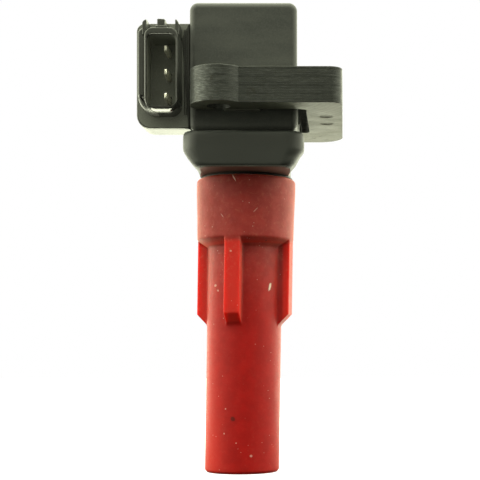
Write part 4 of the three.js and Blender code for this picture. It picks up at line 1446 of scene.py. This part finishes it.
def make_world():
    """Dark in front, soft at the sides, bright behind; plain white to the camera."""
    world = bpy.data.worlds.new("studio")
    bpy.context.scene.world = world
    f = Nodes(world)
    direction = f.node("ShaderNodeTexCoord").outputs["Generated"]
    axes = f.node("ShaderNodeSeparateXYZ", {0: direction}).outputs
    x, y, z = axes["X"], axes["Y"], axes["Z"]
    side = f.ramp(x, (-0.4, 0.4), to=(LEFT_LIGHT, RIGHT_LIGHT))
    front = f.ramp(z, (-0.25, 0.35), to=(FRONT_LOW, FRONT_HIGH))
    # on the left the side light reaches further forward
    turned_left = f.times(f.calc("MINIMUM", x, 0.0), -0.35)
    level = f.ramp(f.add(y, turned_left), (-0.85, -0.25), to=(front, side))
    level = f.ramp(y, (0.1, 0.8), to=(level, BACK_LIGHT))
    # a broad soft light from above
    level = f.add(level, f.ramp(z, (0.35, 0.8), to=(0.0, TOP_LIGHT)))
    to_camera = f.node("ShaderNodeLightPath").outputs["Is Camera Ray"]
    strength = f.node("ShaderNodeMix", {0: to_camera, 2: level, 3: 1.0}, data_type="FLOAT")
    colour = f.mix(to_camera, LIGHT_TINT, (1, 1, 1, 1))
    background = f.node(
        "ShaderNodeBackground", {"Color": colour, "Strength": strength.outputs[0]}
    )
    f.node("ShaderNodeOutputWorld", {0: background.outputs[0]})


def card(name, centre, turn, width, height, radiance, pieces, blocked, diffuse):
    """A reflector card, unseen by the camera, that lights only the pieces given."""
    data = bpy.data.lights.new(name, "AREA")
    data.shape = "RECTANGLE"
    data.size = width * MM
    data.size_y = height * MM
    data.energy = radiance * math.pi * width * height * MM * MM
    data.color = LIGHT_TINT[:3]
    ob = bpy.data.objects.new(name, data)
    bpy.context.scene.collection.objects.link(ob)
    x, y, z = centre
    ob.matrix_world = Matrix.Translation((x * MM, y * MM, MOUTH_Z + z * MM)) @ turn
    ob.visible_camera = False
    ob.visible_diffuse = diffuse
    lit = bpy.data.collections.new(name + "_lit")
    for piece in pieces:
        lit.objects.link(piece)
    ob.light_linking.receiver_collection = lit
    if not blocked:
        # only the floor may cast its shadow
        blockers = bpy.data.collections.new(name + "_blockers")
        blockers.objects.link(bpy.data.objects["studio_floor"])
        ob.light_linking.blocker_collection = blockers


def make_cards():
    meshes = [o for o in bpy.data.objects if o.type == "MESH"]
    coil = [o for o in meshes if o.parent and o.parent.name == "body:coil_body"]
    socket = [o for o in coil if o.name.startswith("connector_body")]
    card(
        "under_card",
        centre=(-45, -10, 3),
        turn=Matrix.Rotation(math.pi, 4, "X"),  # faces up
        width=100,
        height=110,
        radiance=15.0,
        pieces=socket,
        blocked=True,
        diffuse=False,
    )
    card(
        "left_card",
        centre=(-260, -30, 100),
        turn=Matrix.Rotation(-math.pi / 2, 4, "Y"),  # faces +X
        width=160,
        height=120,
        radiance=5.0,
        pieces=coil,
        blocked=False,
        diffuse=True,
    )


def make_camera():
    """A view camera in front: the rig's shear turns its view up and to the left like a shifted
    lens, so upright edges stay upright."""
    rig = bpy.data.objects.new("camera_rig", None)
    bpy.context.scene.collection.objects.link(rig)
    cam = bpy.data.objects.new("camera", bpy.data.cameras.new("camera"))
    bpy.context.scene.collection.objects.link(cam)
    cam.data.lens = 88.55
    cam.data.sensor_width = 36
    cam.data.clip_start = 0.01
    cam.data.clip_end = 20
    view = Vector((-0.0897, 1.0, 0.1009)).normalized()
    eye = Vector((27.2 * MM, -325 * MM, MOUTH_Z + 31.4 * MM))
    cam.parent = rig
    cam.matrix_parent_inverse = Matrix(
        ((1, 0, -view.x, eye.x), (0, 0, -view.y, eye.y), (0, 1, -view.z, eye.z), (0, 0, 0, 1))
    )
    bpy.context.scene.camera = cam


make_boot()
make_tower_housing()
make_case()
make_resin()
make_core()
make_connector()
for terminal, pin_z, bend_y in PINS:
    make_terminal(terminal, pin_z, bend_y)
make_spring()
make_plug_contact()
make_primary()
make_secondary()
for node_name, finish, edge_width, edge_segments in DRESSED:
    dress(node_name, finish, edge_width, edge_segments)
make_lead("primary_lead_start", -3.5)
make_lead("primary_lead_end", 3.5)
make_diode()
make_stud()
make_resistor()

make_floor()
make_world()
make_cards()
make_camera()
bpy.context.scene.view_settings.view_transform = "Standard"
bpy.context.scene.view_settings.look = "None"
